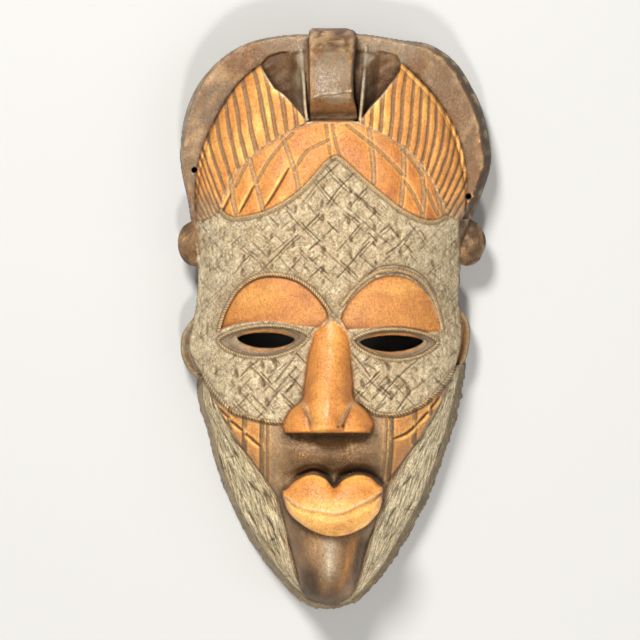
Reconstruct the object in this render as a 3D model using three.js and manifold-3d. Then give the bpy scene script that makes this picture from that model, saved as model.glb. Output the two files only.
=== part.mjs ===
// A carved wooden face mask, lying on its flat back rim with the face up.
// Millimetres. +X is the mask's left cheek side, +Y its crown, +Z the way it looks.
// Plan outlines are drawn as they are seen from SIGHT_HEIGHT above the rim and
// are drawn in along the sight lines at the end, so deep forms keep their outline.

import * as THREE from 'three';
import { mergeVertices } from 'three/addons/utils/BufferGeometryUtils.js';
import Module from 'manifold-3d';

const wasm = await Module();
wasm.setup();

// Driving sizes of the whole mask
const SIGHT_HEIGHT = 3000;
const SIGHT_POINT = [-9.8, -0.7];
const ORIGIN_SHIFT = [0.71, 0.2];
const CHIN_END_Y = -200.9;
const FACE_TOP_Y = 188;

// Heights of the main forms above the rim
const FLANGE_FRONT_Z = 43;
const FLANGE_BEVEL_Z = 26;
const CROWN_GAP_Z = 41;
const EAR_BACK_Z = 6;
const EAR_FRONT_Z = 28;
const CUT_TOP_Z = 160;
const CUT_BOTTOM_Z = -20;
const BACK_SAW_REACH = 400;

// Low relief, measured from the face form
const LOWER_FACE_SINK = 3;
const BAND_RISE = 1.2;
const LOBE_RISE = 2.2;
const LID_SINK = 2.6;
const ROPE_WIDTH = 3.2;
const ROPE_RISE = 1.7;
const LEAF_GROOVE_WIDTH = 2.8;
const LEAF_GROOVE_DEPTH = 2.2;
const FLUTE_DEPTH = 1.9;
const FLUTES = 17;
const EYE_RECESS = 6;
const CORD_HOLE = 3;
const STRIP_ROOT = 5;

// Smooth run of a value along one axis, from a few [position, value] knots
function along(knots) {
  const sorted = [...knots].sort((a, b) => a[0] - b[0]);
  const places = sorted.map((knot) => knot[0]);
  const values = sorted.map((knot) => knot[1]);
  const run = new THREE.CubicInterpolant(places, values, 1, new Float64Array(1));
  return (place) => run.evaluate(place)[0];
}

function curvePoints(points, steps) {
  const curve = new THREE.SplineCurve(points.map(([x, y]) => new THREE.Vector2(x, y)));
  return curve.getPoints(steps).map((point) => [point.x, point.y]);
}

const mix = THREE.MathUtils.lerp;

function ease(value, from, to) {
  return THREE.MathUtils.smoothstep(value, from, to);
}

// Closed solid from triangles that enclose it
function solidFrom(geometry) {
  for (const name of Object.keys(geometry.attributes)) {
    if (name !== 'position') {
      geometry.deleteAttribute(name);
    }
  }
  const merged = mergeVertices(geometry, 1e-4);
  const position = merged.attributes.position.array;
  const index = merged.index.array;
  const corner = [new THREE.Vector3(), new THREE.Vector3(), new THREE.Vector3()];
  const kept = [];
  let volume = 0;
  for (let i = 0; i < index.length; i += 3) {
    const [a, b, c] = [index[i], index[i + 1], index[i + 2]];
    if (a === b || b === c || a === c) {
      continue;
    }
    kept.push(a, b, c);
    corner[0].fromArray(position, 3 * a);
    corner[1].fromArray(position, 3 * b);
    corner[2].fromArray(position, 3 * c);
    volume += corner[0].dot(corner[1].cross(corner[2]));
  }
  if (volume < 0) {
    kept.reverse();
  }
  return new wasm.Manifold(new wasm.Mesh({
    numProp: 3,
    vertProperties: new Float32Array(position),
    triVerts: new Uint32Array(kept),
  }));
}

function geometryOf(points, triangles) {
  const geometry = new THREE.BufferGeometry();
  geometry.setAttribute('position', new THREE.Float32BufferAttribute(points.flat(), 3));
  geometry.setIndex(triangles);
  return geometry;
}

// Solid under a surface: point(s, t) gives the surface, the floor is flat
function patch(columns, rows, point, floor) {
  const points = [];
  const triangles = [];
  const width = columns + 1;
  const layer = width * (rows + 1);
  for (let r = 0; r <= rows; r += 1) {
    for (let c = 0; c <= columns; c += 1) {
      points.push(point(c / columns, r / rows));
    }
  }
  points.slice().forEach(([x, y]) => points.push([x, y, floor]));
  const quad = (a, b, c, d) => triangles.push(a, b, c, a, c, d);
  for (let r = 0; r < rows; r += 1) {
    for (let c = 0; c < columns; c += 1) {
      const a = r * width + c;
      quad(a, a + 1, a + width + 1, a + width);
      quad(layer + a, layer + a + width, layer + a + width + 1, layer + a + 1);
    }
  }
  for (let c = 0; c < columns; c += 1) {
    const top = rows * width + c;
    quad(c + 1, c, layer + c, layer + c + 1);
    quad(top, top + 1, layer + top + 1, layer + top);
  }
  for (let r = 0; r < rows; r += 1) {
    const left = r * width;
    const right = left + columns;
    quad(left, left + width, layer + left + width, layer + left);
    quad(right + width, right, layer + right, layer + right + width);
  }
  return solidFrom(geometryOf(points, triangles));
}

// Solid through a pile of rings that all have the same number of corners
function stack(pile) {
  const turned = THREE.ShapeUtils.isClockWise(pile[0].map(([x, y]) => ({ x, y })));
  const rings = pile.map((ring) => (turned ? [...ring].reverse() : ring));
  const size = rings[0].length;
  const triangles = [];
  rings.slice(1).forEach((ring, level) => {
    for (let i = 0; i < size; i += 1) {
      const next = (i + 1) % size;
      const [low, high] = [level * size, (level + 1) * size];
      triangles.push(low + i, low + next, high + next, low + i, high + next, high + i);
    }
  });
  const cap = (ring, base, flip) => {
    const flat = ring.map(([x, y]) => new THREE.Vector2(x, y));
    for (const face of THREE.ShapeUtils.triangulateShape(flat, [])) {
      const [a, b, c] = face.map((corner) => base + corner);
      triangles.push(...(flip ? [a, c, b] : [a, b, c]));
    }
  };
  cap(rings[0], 0, true);
  cap(rings.at(-1), (rings.length - 1) * size, false);
  return solidFrom(geometryOf(rings.flat(), triangles));
}

const level = (points, z) => points.map(([x, y]) => [x, y, z]);

function prism(points, from, to) {
  const shape = new THREE.Shape(points.map(([x, y]) => new THREE.Vector2(x, y)));
  const geometry = new THREE.ExtrudeGeometry(shape, { depth: to - from, bevelEnabled: false });
  return solidFrom(geometry.translate(0, 0, from));
}

// Moulding (rise above 0) or V groove (rise below 0) that follows a surface
function strip(points, steps, width, rise, surface) {
  const path = curvePoints(points, steps);
  const root = -STRIP_ROOT * Math.sign(rise);
  const spread = (root - rise) / rise;
  const section = rise > 0
    ? [[-1.2, root], [1.2, root], [0.6, rise], [-0.6, rise]]
    : [[spread, root], [-spread, root], [0, rise]];
  const corners = [];
  const triangles = [];
  path.forEach(([x, y], i) => {
    const before = path[Math.max(i - 1, 0)];
    const after = path[Math.min(i + 1, path.length - 1)];
    const run = Math.hypot(after[0] - before[0], after[1] - before[1]);
    const side = [(after[1] - before[1]) / run, (before[0] - after[0]) / run];
    const z = surface(x, y);
    for (const [across, up] of section) {
      const offset = across * width / 2;
      corners.push([x + side[0] * offset, y + side[1] * offset, z + up]);
    }
  });
  const size = section.length;
  for (let i = 0; i < path.length - 1; i += 1) {
    for (let k = 0; k < size; k += 1) {
      const next = (k + 1) % size;
      const [a, b] = [i * size, (i + 1) * size];
      triangles.push(a + k, a + next, b + next, a + k, b + next, b + k);
    }
  }
  const last = (path.length - 1) * size;
  for (let k = 1; k < size - 1; k += 1) {
    triangles.push(0, k + 1, k, last, last + k, last + k + 1);
  }
  return solidFrom(geometryOf(corners, triangles));
}

// The face form: a dome between two side edges, closed over the crown
const faceLeft = along([
  [67.9, -97.3], [41.3, -95.6], [13.3, -95.9], [-4.2, -98.7], [-20.3, -101.2], [-41.3, -91.7],
  [-59.5, -82.6], [-83.3, -68.6], [-103.6, -54.3], [-124.6, -39.9], [-152.6, -32.2],
  [-174.3, -26.6], [-189.7, -22.4], [-196.7, -16.1], [CHIN_END_Y, -5],
]);
const faceRight = along([
  [67.9, 94], [41.3, 88.9], [13.3, 87.5], [-11.9, 89.6], [-26.6, 86.8], [-41.3, 82.6],
  [-72.8, 67.2], [-95.2, 51.1], [-114.1, 38.5], [-130.2, 33.6], [-146.3, 27.3],
  [-163.8, 21], [-179.9, 17.8], [-194.6, 11.2], [CHIN_END_Y, 3],
]);
const faceCrown = along([
  [80, 95], [40, 95], [20, 94], [6, 91], [-18, 86], [-57, 84], [-78, 86], [-106, 88],
  [-127, 92], [-148, 96], [-169, 94], [-183, 88], [-192, 78], [-197, 66], [CHIN_END_Y, 50],
]);
const faceSide = along([
  [80, 41.5], [41, 30], [-15, 30], [-41, 40], [-60, 50], [-83, 58], [-114, 62], [-152, 58],
  [-175, 52], [-190, 44], [CHIN_END_Y, 34],
]);
const CROWN_START_Y = 40;
const CROWN_REACH = 148.4;
const CROWN_POWER = 2.6;
const DOME_POWER = 2.3;
const DOME_ROUND = 0.65;

// The wood of the face ends inside the crest, whose outline closes over the crown
const BLOCK_TURN_Y = 70;
const blockLeft = along([
  [70, -92], [95, -94], [130, -90], [155, -80], [175, -66], [FACE_TOP_Y, -50],
]);
const blockRight = along([
  [70, 90], [95, 94], [130, 91], [155, 82], [175, 68], [FACE_TOP_Y, 52],
]);

function faceSpan(x, y) {
  const middle = (faceLeft(y) + faceRight(y)) / 2;
  const half = (faceRight(y) - faceLeft(y)) / 2;
  return Math.abs(x - middle) / half;
}

function faceZ(x, y) {
  const up = Math.max(0, (y - CROWN_START_Y) / CROWN_REACH);
  const span = faceSpan(x, y);
  const reach = (span ** CROWN_POWER + up ** CROWN_POWER) ** (1 / CROWN_POWER);
  const round = Math.max(0, 1 - reach ** DOME_POWER) ** DOME_ROUND;
  return mix(faceSide(y), faceCrown(y), round);
}

// Muzzle roll under the nose and the dark hollow between it and the lips
const MUZZLE_ROLL_Y = -92;
const MUZZLE_ROLL_RISE = 9;
const LIP_HOLLOW_Y = -109;
const LIP_HOLLOW_DEPTH = 5;

function lowerFaceZ(x, y) {
  const across = Math.max(0, 1 - (Math.abs(x) / 52) ** 4);
  const roll = MUZZLE_ROLL_RISE * Math.exp(-(((y - MUZZLE_ROLL_Y) / 11) ** 2));
  const hollow = LIP_HOLLOW_DEPTH * Math.exp(-(((y - LIP_HOLLOW_Y) / 6) ** 2));
  return faceZ(x, y) - LOWER_FACE_SINK + across * (roll - hollow);
}

function faceBlock(surface) {
  return patch(14, 33, (s, t) => {
    const y = mix(CHIN_END_Y, FACE_TOP_Y, t);
    const turn = Math.sin((s - 0.5) * Math.PI);
    const left = y > BLOCK_TURN_Y ? blockLeft(y) : faceLeft(y);
    const right = y > BLOCK_TURN_Y ? blockRight(y) : faceRight(y);
    const x = mix(left, right, (turn + 1) / 2);
    return [x, y, surface(x, y)];
  }, CUT_BOTTOM_Z);
}

const raisedFace = (rise) => faceBlock((x, y) => faceZ(x, y) + rise);

// Crest flange round the hair, with its outer edge bevelled more on one side
const crestOutline = curvePoints([
  [-95, 44], [-99.8, 67.9], [-102.2, 83.3], [-106.1, 100.8], [-107.5, 114.8], [-105.7, 135.8],
  [-100.8, 152.6], [-91.7, 168.7], [-76.3, 184.1], [-58.8, 193.6], [-37.8, 198.1],
  [-17.5, 199.2], [16.8, 199.5], [46.2, 195.3], [67.2, 191.8], [84.7, 179.9], [96.6, 161.7],
  [104.3, 144.2], [108.9, 121.8], [109.4, 106.4], [102.9, 86.1], [95.9, 69.3], [89, 44],
], 34);

function crestFlange() {
  const center = [0, 110];
  const front = crestOutline.map(([x, y]) => {
    const away = Math.hypot(x - center[0], y - center[1]);
    const inset = 1.4 + 4.4 * ease(x, 35, 95) * ease(y, 40, 80);
    return [x - (x - center[0]) / away * inset, y - (y - center[1]) / away * inset];
  });
  return stack([
    level(crestOutline, CUT_BOTTOM_Z),
    level(crestOutline, FLANGE_BEVEL_Z),
    level(front, FLANGE_FRONT_Z),
  ]);
}

// One fluted hair lobe between the flange and the band, flutes from outer to inner line
function hairLobe(outer, inner) {
  const perFlute = 3;
  const outerPoints = curvePoints(outer, FLUTES * perFlute);
  const innerPoints = curvePoints(inner, FLUTES * perFlute);
  const profile = [0, 1, 1];
  return patch(FLUTES * perFlute, 4, (s, t) => {
    const k = Math.round(s * FLUTES * perFlute);
    const x = mix(outerPoints[k][0], innerPoints[k][0], t);
    const y = mix(outerPoints[k][1], innerPoints[k][1], t);
    return [x, y, faceZ(x, y) + LOBE_RISE - FLUTE_DEPTH * (1 - profile[k % perFlute])];
  }, 20);
}

const leftLobe = {
  outer: [
    [-97.3, 74.9], [-95.9, 105.7], [-86.1, 134.4], [-68.6, 163.1], [-51.5, 178.5],
    [-35, 157.5], [-19.6, 140],
  ],
  inner: [
    [-95.9, 68.6], [-80.5, 75.6], [-70.7, 98.7], [-54.6, 115.9], [-44.8, 123.2],
    [-30.8, 131.6], [-19.6, 137.5],
  ],
};
const rightLobe = {
  outer: [
    [91.7, 74.9], [93.1, 100.8], [86.1, 131.6], [68.6, 158.9], [46.9, 179.9],
    [32.2, 155.4], [18.2, 140],
  ],
  inner: [
    [88.9, 68.6], [78.4, 75.6], [68.6, 96.6], [53.9, 115.5], [43.4, 123.9],
    [30.8, 130.9], [18.2, 136.2],
  ],
};

// The head stops at the outer line of the hair, and the flange stands round it
const hairTopGap = [[-23.8, 186.2], [23.8, 187.6]];

function headOutline() {
  const [left, right] = [leftLobe, rightLobe].map(({ outer }) => curvePoints(outer.slice(0, 5), 12));
  return [
    [-130, -250], [-130, 66], ...left, ...hairTopGap, ...right.reverse(), [130, 66], [130, -250],
  ];
}

// Smooth band between the hair and the forehead, with leaf-shaped grooves
const bandTop = [
  [-80.5, 75.6], [-70.7, 98.7], [-54.6, 115.9], [-30.8, 131.6], [-10, 138.5], [10, 138.5],
  [30.8, 130.9], [53.9, 115.5], [68.6, 96.6], [79, 74.5],
];
const bandBottomLeft = [
  [-77.7, 73.5], [-65.8, 70.4], [-50.4, 73.5], [-34.3, 81.2], [-20.3, 92.1], [-6.3, 107.8],
  [-0.7, 112.7],
];
const bandBottomRight = [
  [2.5, 112.7], [18.2, 99.4], [32.2, 87.5], [46.2, 76.7], [60.2, 69.3], [77.7, 70.7],
];
const leafGrooves = [
  [[-35.7, 126.7], [-30.1, 111.3], [-24.5, 85.4]],
  [[-58.8, 111.3], [-55.3, 97.3], [-49.7, 76.3]],
  [[-72.1, 96.6], [-70.7, 83.3], [-68.6, 74.2]],
  [[-6, 124], [-18, 117], [-28, 104.3]],
  [[-28.7, 130.2], [-46.2, 109.9], [-53.9, 97.3], [-64, 78]],
  [[-31.5, 105.7], [-42.7, 87.5], [-49, 77.7]],
  [[-60.9, 109.2], [-70.7, 90.3], [-77, 75.6]],
  [[24.5, 132.3], [27.3, 111.3], [28, 95.2]],
  [[48.3, 120.4], [49, 104.3], [46.9, 79.8]],
  [[61.6, 104.3], [63.7, 86.8], [61.6, 70.7]],
  [[72.1, 90.3], [75.6, 72.1]],
  [[9.1, 135.8], [34.3, 115.5], [47.6, 101.5]],
  [[48.3, 118.3], [61.6, 100.8]],
  [[49.7, 95.9], [58.1, 81.9], [62.3, 74.2]],
  [[65.1, 90.3], [72.8, 72.1]],
  [[-4, 135], [-2, 117]],
  [[0.5, 135], [4, 115]],
];

// The gap in the crown with two fins and the strap-like topknot
const crownGap = [
  [-49.7, 180.6], [-23.8, 186.2], [23.8, 187.6], [45.5, 179.9], [18.2, 140], [-19.6, 140],
];
const leftFin = [[-23.8, 188], [-21.7, 168], [-20.3, 146.3], [-18.9, 137.5]];
const rightFin = [[22.4, 190], [21, 170.8], [18.9, 146.3], [18.2, 138.6]];
const FIN_WIDTH = 2.4;
const KNOT_TOP_Y = 204.1;
const KNOT_END_Y = 138.6;
const knotLeft = along([[KNOT_TOP_Y, -14.5], [198, -16.1], [150, -16.8], [KNOT_END_Y, -16.8]]);
const knotRight = along([[KNOT_TOP_Y, 13], [198, 14], [160, 13], [KNOT_END_Y, 17]]);
const knotZ = along([
  [KNOT_TOP_Y, 30], [202, 52], [198, 68], [192, 79], [185, 87], [177.8, 92], [167, 96],
  [155.5, 98], [149.8, 92], [KNOT_END_Y, 78],
]);

function fin(points) {
  const surface = (x, y) => Math.max(FLANGE_FRONT_Z, faceZ(x, y)) + 1.5;
  const path = curvePoints(points, 8);
  return patch(1, 8, (s, t) => {
    const [x, y] = path[Math.round(t * 8)];
    return [x + (s - 0.5) * FIN_WIDTH, y, surface(x, y)];
  }, 20);
}

function topknot() {
  return patch(6, 18, (s, t) => {
    const y = mix(KNOT_TOP_Y, KNOT_END_Y, t);
    const x = mix(knotLeft(y), knotRight(y), s);
    return [x, y, knotZ(y) - 3 * Math.abs(2 * s - 1) ** 4];
  }, CUT_BOTTOM_Z);
}

// Raised plate of forehead and cheeks; its lower edge is a rope moulding
const leftCheekEdge = [
  [-93, -38], [-84.9, -50.4], [-73.5, -63.7], [-61.6, -68.6], [-46.9, -72.1], [-33, -73],
];
const rightCheekEdge = [
  [19, -59.5], [29, -66.2], [43.8, -67.2], [58.1, -62.3], [72.1, -51.8], [86, -34],
];

function plateOutline() {
  return [
    [-130, 250], [-130, -36], ...curvePoints(leftCheekEdge, 9),
    ...curvePoints(rightCheekEdge, 9), [130, -34], [130, 250],
  ];
}

// Half-moon lids, sunk in the plate and slightly domed, with rope arcs round them
const lids = [
  {
    arc: [
      [-75.6, -4.2], [-72.1, 7.7], [-63.4, 21.3], [-51.8, 28], [-36.4, 28], [-21.9, 22],
      [-9.1, 10.5], [-3.5, 0.5],
    ],
    base: [[-11.2, -5.6], [-25.5, -4.2], [-46.9, -1.4], [-68.6, -3.5]],
    rope: [
      [-80.9, -7.7], [-75.9, 7], [-66.2, 22], [-50.4, 30.8], [-30.5, 29.4], [-16.1, 21.2],
      [-5.6, 9.1], [-3, 3.5],
    ],
    middle: -40,
  },
  {
    arc: [
      [4.6, 0.4], [9.8, 10.9], [20.6, 22.4], [32.7, 29.5], [46.9, 30.1], [58.5, 24.2],
      [67.6, 13.3], [72.8, -1.2], [74, -8.8],
    ],
    base: [[65.8, -9.5], [46.9, -5.9], [24.5, -6.3], [9.1, -7.3]],
    rope: [
      [5.6, 9.8], [16.8, 23.1], [31, 32.9], [46.9, 33.6], [61.6, 26.6], [71.4, 11.2],
      [76.3, -7.7],
    ],
    middle: 39,
  },
];
const LID_DOME = 3.2;

function lidCut({ arc, base, middle }) {
  const outline = [...curvePoints(arc, 13), ...curvePoints(base, 4)];
  const floor = faceBlock((x, y) => {
    const away = Math.hypot((x - middle) / 40, (y - 10) / 24);
    return faceZ(x, y) - LID_SINK - LID_DOME * Math.min(1, away ** 2) + LID_DOME * 0.5;
  });
  return prism(outline, 10, CUT_TOP_Z).subtract(floor);
}

// Lens-shaped eyes: a sloping surround, and a slit through the wall to the hollow
const eyes = [
  {
    lens: { left: -81.6, right: -17.6, tilt: 3, rise: 9, drop: 13.5, y: -13.6 },
    slit: { left: -67.2, right: -28, tilt: -0.9, rise: 4.2, drop: 6, y: -14 },
  },
  {
    lens: { left: 13.3, right: 73, tilt: -1, rise: 8.6, drop: 13, y: -15.6 },
    slit: { left: 18.7, right: 61.9, tilt: 0.6, rise: 4, drop: 6.6, y: -15.8 },
  },
];
const EYE_STEPS = 8;

function lensPoints({ left, right, tilt, rise, drop, y }) {
  const points = [];
  for (let i = 0; i < 2 * EYE_STEPS; i += 1) {
    const angle = Math.PI * i / EYE_STEPS;
    const across = (1 - Math.cos(angle)) / 2;
    const bulge = Math.abs(Math.sin(angle)) ** 1.4;
    const lift = i < EYE_STEPS ? rise : -drop;
    points.push([mix(left, right, across), y + tilt * (across - 0.5) + lift * bulge]);
  }
  return points;
}

function eyeCut({ lens, slit }) {
  const outer = lensPoints(lens);
  const inner = lensPoints(slit);
  const onFace = (points, rise) => points.map(([x, y]) => [x, y, faceZ(x, y) + rise]);
  return stack([
    level(inner, CUT_BOTTOM_Z),
    onFace(inner, -EYE_RECESS),
    onFace(outer, 0.2),
    onFace(outer, 6),
  ]);
}

// Nose: a round bridge that spreads into two wings
const NOSE_TOP_Y = -1.5;
const NOSE_END_Y = -79.5;
const noseLeft = along([
  [NOSE_TOP_Y, -2], [-4.2, -7], [-8.4, -12.9], [-16.1, -15.7], [-29.4, -18.9], [-46.2, -21],
  [-57.4, -23.2], [-60, -25.9], [-63.7, -30.5], [-68.6, -33.6], [-74.2, -36.1],
  [NOSE_END_Y, -35],
]);
const noseRight = along([
  [NOSE_TOP_Y, 1], [-5.6, 6.3], [-13, 10.5], [-27.3, 11.9], [-42.7, 13.3], [-57.4, 15.2],
  [-60.2, 18.2], [-63, 21.4], [-67.9, 25.2], [-72.8, 28], [NOSE_END_Y, 26],
]);
const noseRidge = along([
  [NOSE_TOP_Y, 90], [-10, 93], [-40, 106], [-60, 115], [-72, 121], [-77, 121],
  [NOSE_END_Y, 117],
]);
const NOSE_AXIS_X = -5;
const NOSE_ROUND = 0.55;
const WING_Z = 104;

function noseZ(x, y) {
  const half = x < NOSE_AXIS_X ? NOSE_AXIS_X - noseLeft(y) : noseRight(y) - NOSE_AXIS_X;
  const span = Math.min(1, Math.abs(x - NOSE_AXIS_X) / half);
  const root = faceZ(x, y) - 4;
  const bridge = mix(root, noseRidge(y), (1 - span ** 2.4) ** NOSE_ROUND);
  const spread = ease(-y, 57, 66);
  const stem = Math.abs(x - NOSE_AXIS_X) / 17;
  const stemZ = mix(WING_Z - 4, noseRidge(y), Math.max(0, 1 - stem ** 2.6) ** 0.6);
  const wingZ = mix(root, WING_Z, Math.max(0, 1 - span ** 4) ** 0.6);
  return mix(bridge, Math.max(stem < 1 ? stemZ : 0, wingZ), spread);
}

function nose() {
  return patch(10, 13, (s, t) => {
    const y = mix(NOSE_TOP_Y, NOSE_END_Y, t);
    const turn = Math.sin((s - 0.5) * Math.PI);
    const x = mix(noseLeft(y), noseRight(y), (turn + 1) / 2);
    return [x, y, noseZ(x, y)];
  }, 50);
}

// Lips: a bow-shaped upper lip that overhangs the lower one
const LIP_LEFT_X = -35.7;
const LIP_RIGHT_X = 34.1;
const lipTop = along([
  [LIP_LEFT_X, -120.4], [-26.6, -113.4], [-16.1, -108.9], [-6, -112], [0.3, -118.3],
  [6.3, -113], [16, -109.2], [25, -110.8], [LIP_RIGHT_X, -117.6],
]);
const lipPart = along([
  [LIP_LEFT_X, -124], [-18.9, -133], [0, -135.8], [18.2, -129.5], [LIP_RIGHT_X, -121],
]);
const lipBottom = along([
  [LIP_LEFT_X, -126], [-32.9, -133], [-23.1, -143.2], [-9.1, -150.5], [2.1, -152],
  [16.1, -148.3], [28.4, -138.6], [33.3, -128.8], [LIP_RIGHT_X, -123],
]);
const LIP_CENTER_Z = 112;
const LIP_CORNER_DROP = 14;
const lipProfile = along([
  [0, -10], [0.1, -5.5], [0.35, -1.5], [0.56, 0], [0.6, -2.6], [0.75, -2.2], [0.9, -6],
  [1, -12],
]);

function lips() {
  const parting = 0.56;
  return patch(12, 10, (s, t) => {
    const x = mix(LIP_LEFT_X, LIP_RIGHT_X, (1 - Math.cos(s * Math.PI)) / 2);
    const upper = t < parting;
    const y = upper
      ? mix(lipTop(x), lipPart(x), t / parting)
      : mix(lipPart(x), lipBottom(x), (t - parting) / (1 - parting));
    const away = Math.abs(x) / 36;
    return [x, y, LIP_CENTER_Z - LIP_CORNER_DROP * away ** 2.2 + lipProfile(t)];
  }, 50);
}

// Jaw bands: sloping from the cheek down to a sharp outer edge, then out to the rim
const jaws = [
  {
    rim: [
      [-95.2, -34.3], [-95.9, -56.7], [-88.9, -78.4], [-82.8, -103.6], [-71.4, -132],
      [-54.6, -162.4], [-33.6, -188.3], [-17.5, -201.6], [-1.4, -203.7],
    ],
    edge: [
      [-91, -34.3], [-91.7, -56.7], [-84.7, -78.4], [-78.4, -103.6], [-67.2, -130.2],
      [-50.4, -159.6], [-30.1, -184.8], [-15.4, -198.1], [-1.4, -201.6],
    ],
    inner: [
      [-88, -37.1], [-83, -55.3], [-73.5, -76.3], [-58.8, -97.3], [-39.9, -124.6],
      [-31.5, -155.4], [-24.5, -184.1], [-11.2, -196.5], [-1.4, -198],
    ],
  },
  {
    rim: [
      [93.1, -30.1], [90.3, -49.7], [85.9, -71.4], [78.8, -92.4], [67.9, -122.5],
      [54.5, -148.4], [38.5, -174.3], [18.2, -196.7], [-1.4, -203.7],
    ],
    edge: [
      [88.9, -30.1], [84.7, -51.1], [79.8, -71.4], [72.8, -95.2], [61.6, -123.2],
      [47.6, -149.1], [32.2, -174.3], [14, -194.6], [-1.4, -201.6],
    ],
    inner: [
      [82, -35.7], [74.2, -59.9], [64.4, -77], [51.1, -95.6], [37.1, -121.1],
      [27.3, -146.3], [19.6, -172.2], [11.2, -192], [-1.4, -198],
    ],
  },
];
const jawInnerZ = along([
  [0, 36], [0.125, 47], [0.25, 54], [0.375, 58], [0.5, 60], [0.625, 54], [0.75, 45],
  [0.875, 36], [1, 33],
]);
const JAW_EDGE_Z = 28;
const JAW_BULGE = 3;

function jawBand({ rim, edge, inner }) {
  const steps = 15;
  const [rimRun, edgeRun, innerRun] = [rim, edge, inner].map((run) => curvePoints(run, steps));
  return patch(5, steps, (s, t) => {
    const k = Math.round(t * steps);
    const column = Math.round(s * 5);
    const innerZ = jawInnerZ(t);
    if (column === 5) {
      return [...rimRun[k], 1];
    }
    if (column === 0) {
      const [x, y] = innerRun[k];
      return [x * 0.9, y * 0.985, innerZ - 1];
    }
    const across = (column - 1) / 3;
    const [x, y] = [0, 1].map((axis) => mix(innerRun[k][axis], edgeRun[k][axis], across));
    return [x, y, mix(innerZ, JAW_EDGE_Z, across) + JAW_BULGE * Math.sin(across * Math.PI)];
  }, CUT_BOTTOM_Z);
}

// Lattice panels beside the muzzle: low bars and one deep slanting cut each side
const latticeBars = [
  [[-73.5, -65], [-73.5, -76]],
  [[-63.4, -70], [-63.4, -88]],
  [[-50.4, -73], [-50.4, -106]],
  [[40.2, -70], [39, -85], [35.5, -114]],
  [[56.7, -65], [56.7, -84]],
  [[67.2, -57], [67.2, -67]],
];
const latticeCuts = [
  [[-81, -63], [-65.1, -77.7], [-48.3, -89.6]],
  [[42, -84], [58.1, -73.5], [78, -48.3]],
];

// Ears: thin C-shaped flanges on the sides of the face
const ears = [
  [
    [-94.1, 7], [-99.1, 0], [-103, -4.9], [-106.3, -10.9], [-107.3, -18.2], [-107, -24.5],
    [-104.8, -30.8], [-101.2, -36.4], [-97, -40.6], [-91.9, -43],
  ],
  [
    [86.6, 11.2], [89.6, 5.6], [92.7, 1.1], [94.9, -4.2], [95.3, -11.9], [94.5, -19.6],
    [92.7, -27], [89.6, -32.2], [85.8, -36.1], [80, -40],
  ],
];

function ear(points) {
  const outline = [...curvePoints(points, 16), [Math.sign(points[0][0]) * 74, -16]];
  return prism(outline, EAR_BACK_Z, EAR_FRONT_Z);
}

// Round knobs where the crest ends at the temples
const knobs = [
  { center: [-97, 53, 26], size: [12.6, 16.5, 16] },
  { center: [93, 53.5, 26], size: [13.6, 16.5, 16] },
];

function knob({ center, size }) {
  const geometry = new THREE.SphereGeometry(1, 12, 7);
  geometry.scale(...size).translate(...center);
  return solidFrom(geometry);
}

// The hollow behind the face
const hollowLeft = along([
  [150, -20], [143, -44], [128, -66], [105, -80], [70, -84], [0, -84], [-45, -82],
  [-80, -74], [-110, -64], [-140, -48], [-165, -30], [-180, -14],
]);
const hollowRight = along([
  [150, 20], [143, 44], [128, 66], [105, 80], [70, 82], [0, 77], [-45, 75], [-80, 67],
  [-110, 56], [-140, 40], [-165, 24], [-180, 10],
]);
const hollowZ = along([
  [150, 14], [140, 36], [125, 52], [100, 64], [60, 75], [20, 76], [-20, 68], [-70, 66],
  [-110, 66], [-140, 64], [-160, 50], [-172, 34], [-180, 14],
]);
const HOLLOW_TOP_Y = 150;
const HOLLOW_END_Y = -180;

function hollow() {
  return patch(10, 12, (s, t) => {
    const y = mix(HOLLOW_TOP_Y, HOLLOW_END_Y, t);
    const span = Math.sin((s - 0.5) * Math.PI);
    const x = mix(hollowLeft(y), hollowRight(y), (span + 1) / 2);
    return [x, y, 2 + hollowZ(y) * (1 - Math.abs(span) ** 2.8) ** 0.55];
  }, 1.5 * CUT_BOTTOM_Z);
}

// Cord holes drilled through the crest flange
const cordHoles = [[-97.7, 104.3], [94.2, 85.8]];

function cordHole([x, y]) {
  const geometry = new THREE.CylinderGeometry(CORD_HOLE / 2, CORD_HOLE / 2, 120, 12);
  geometry.rotateX(Math.PI / 2).translate(x, y, 20);
  return solidFrom(geometry);
}

// The back is sawn flat, which leaves the rim that the mask lies on
function backSaw() {
  const reach = BACK_SAW_REACH;
  const square = [[-reach, -reach], [reach, -reach], [reach, reach], [-reach, reach]];
  return prism(square, 2 * CUT_BOTTOM_Z, 0);
}

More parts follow.
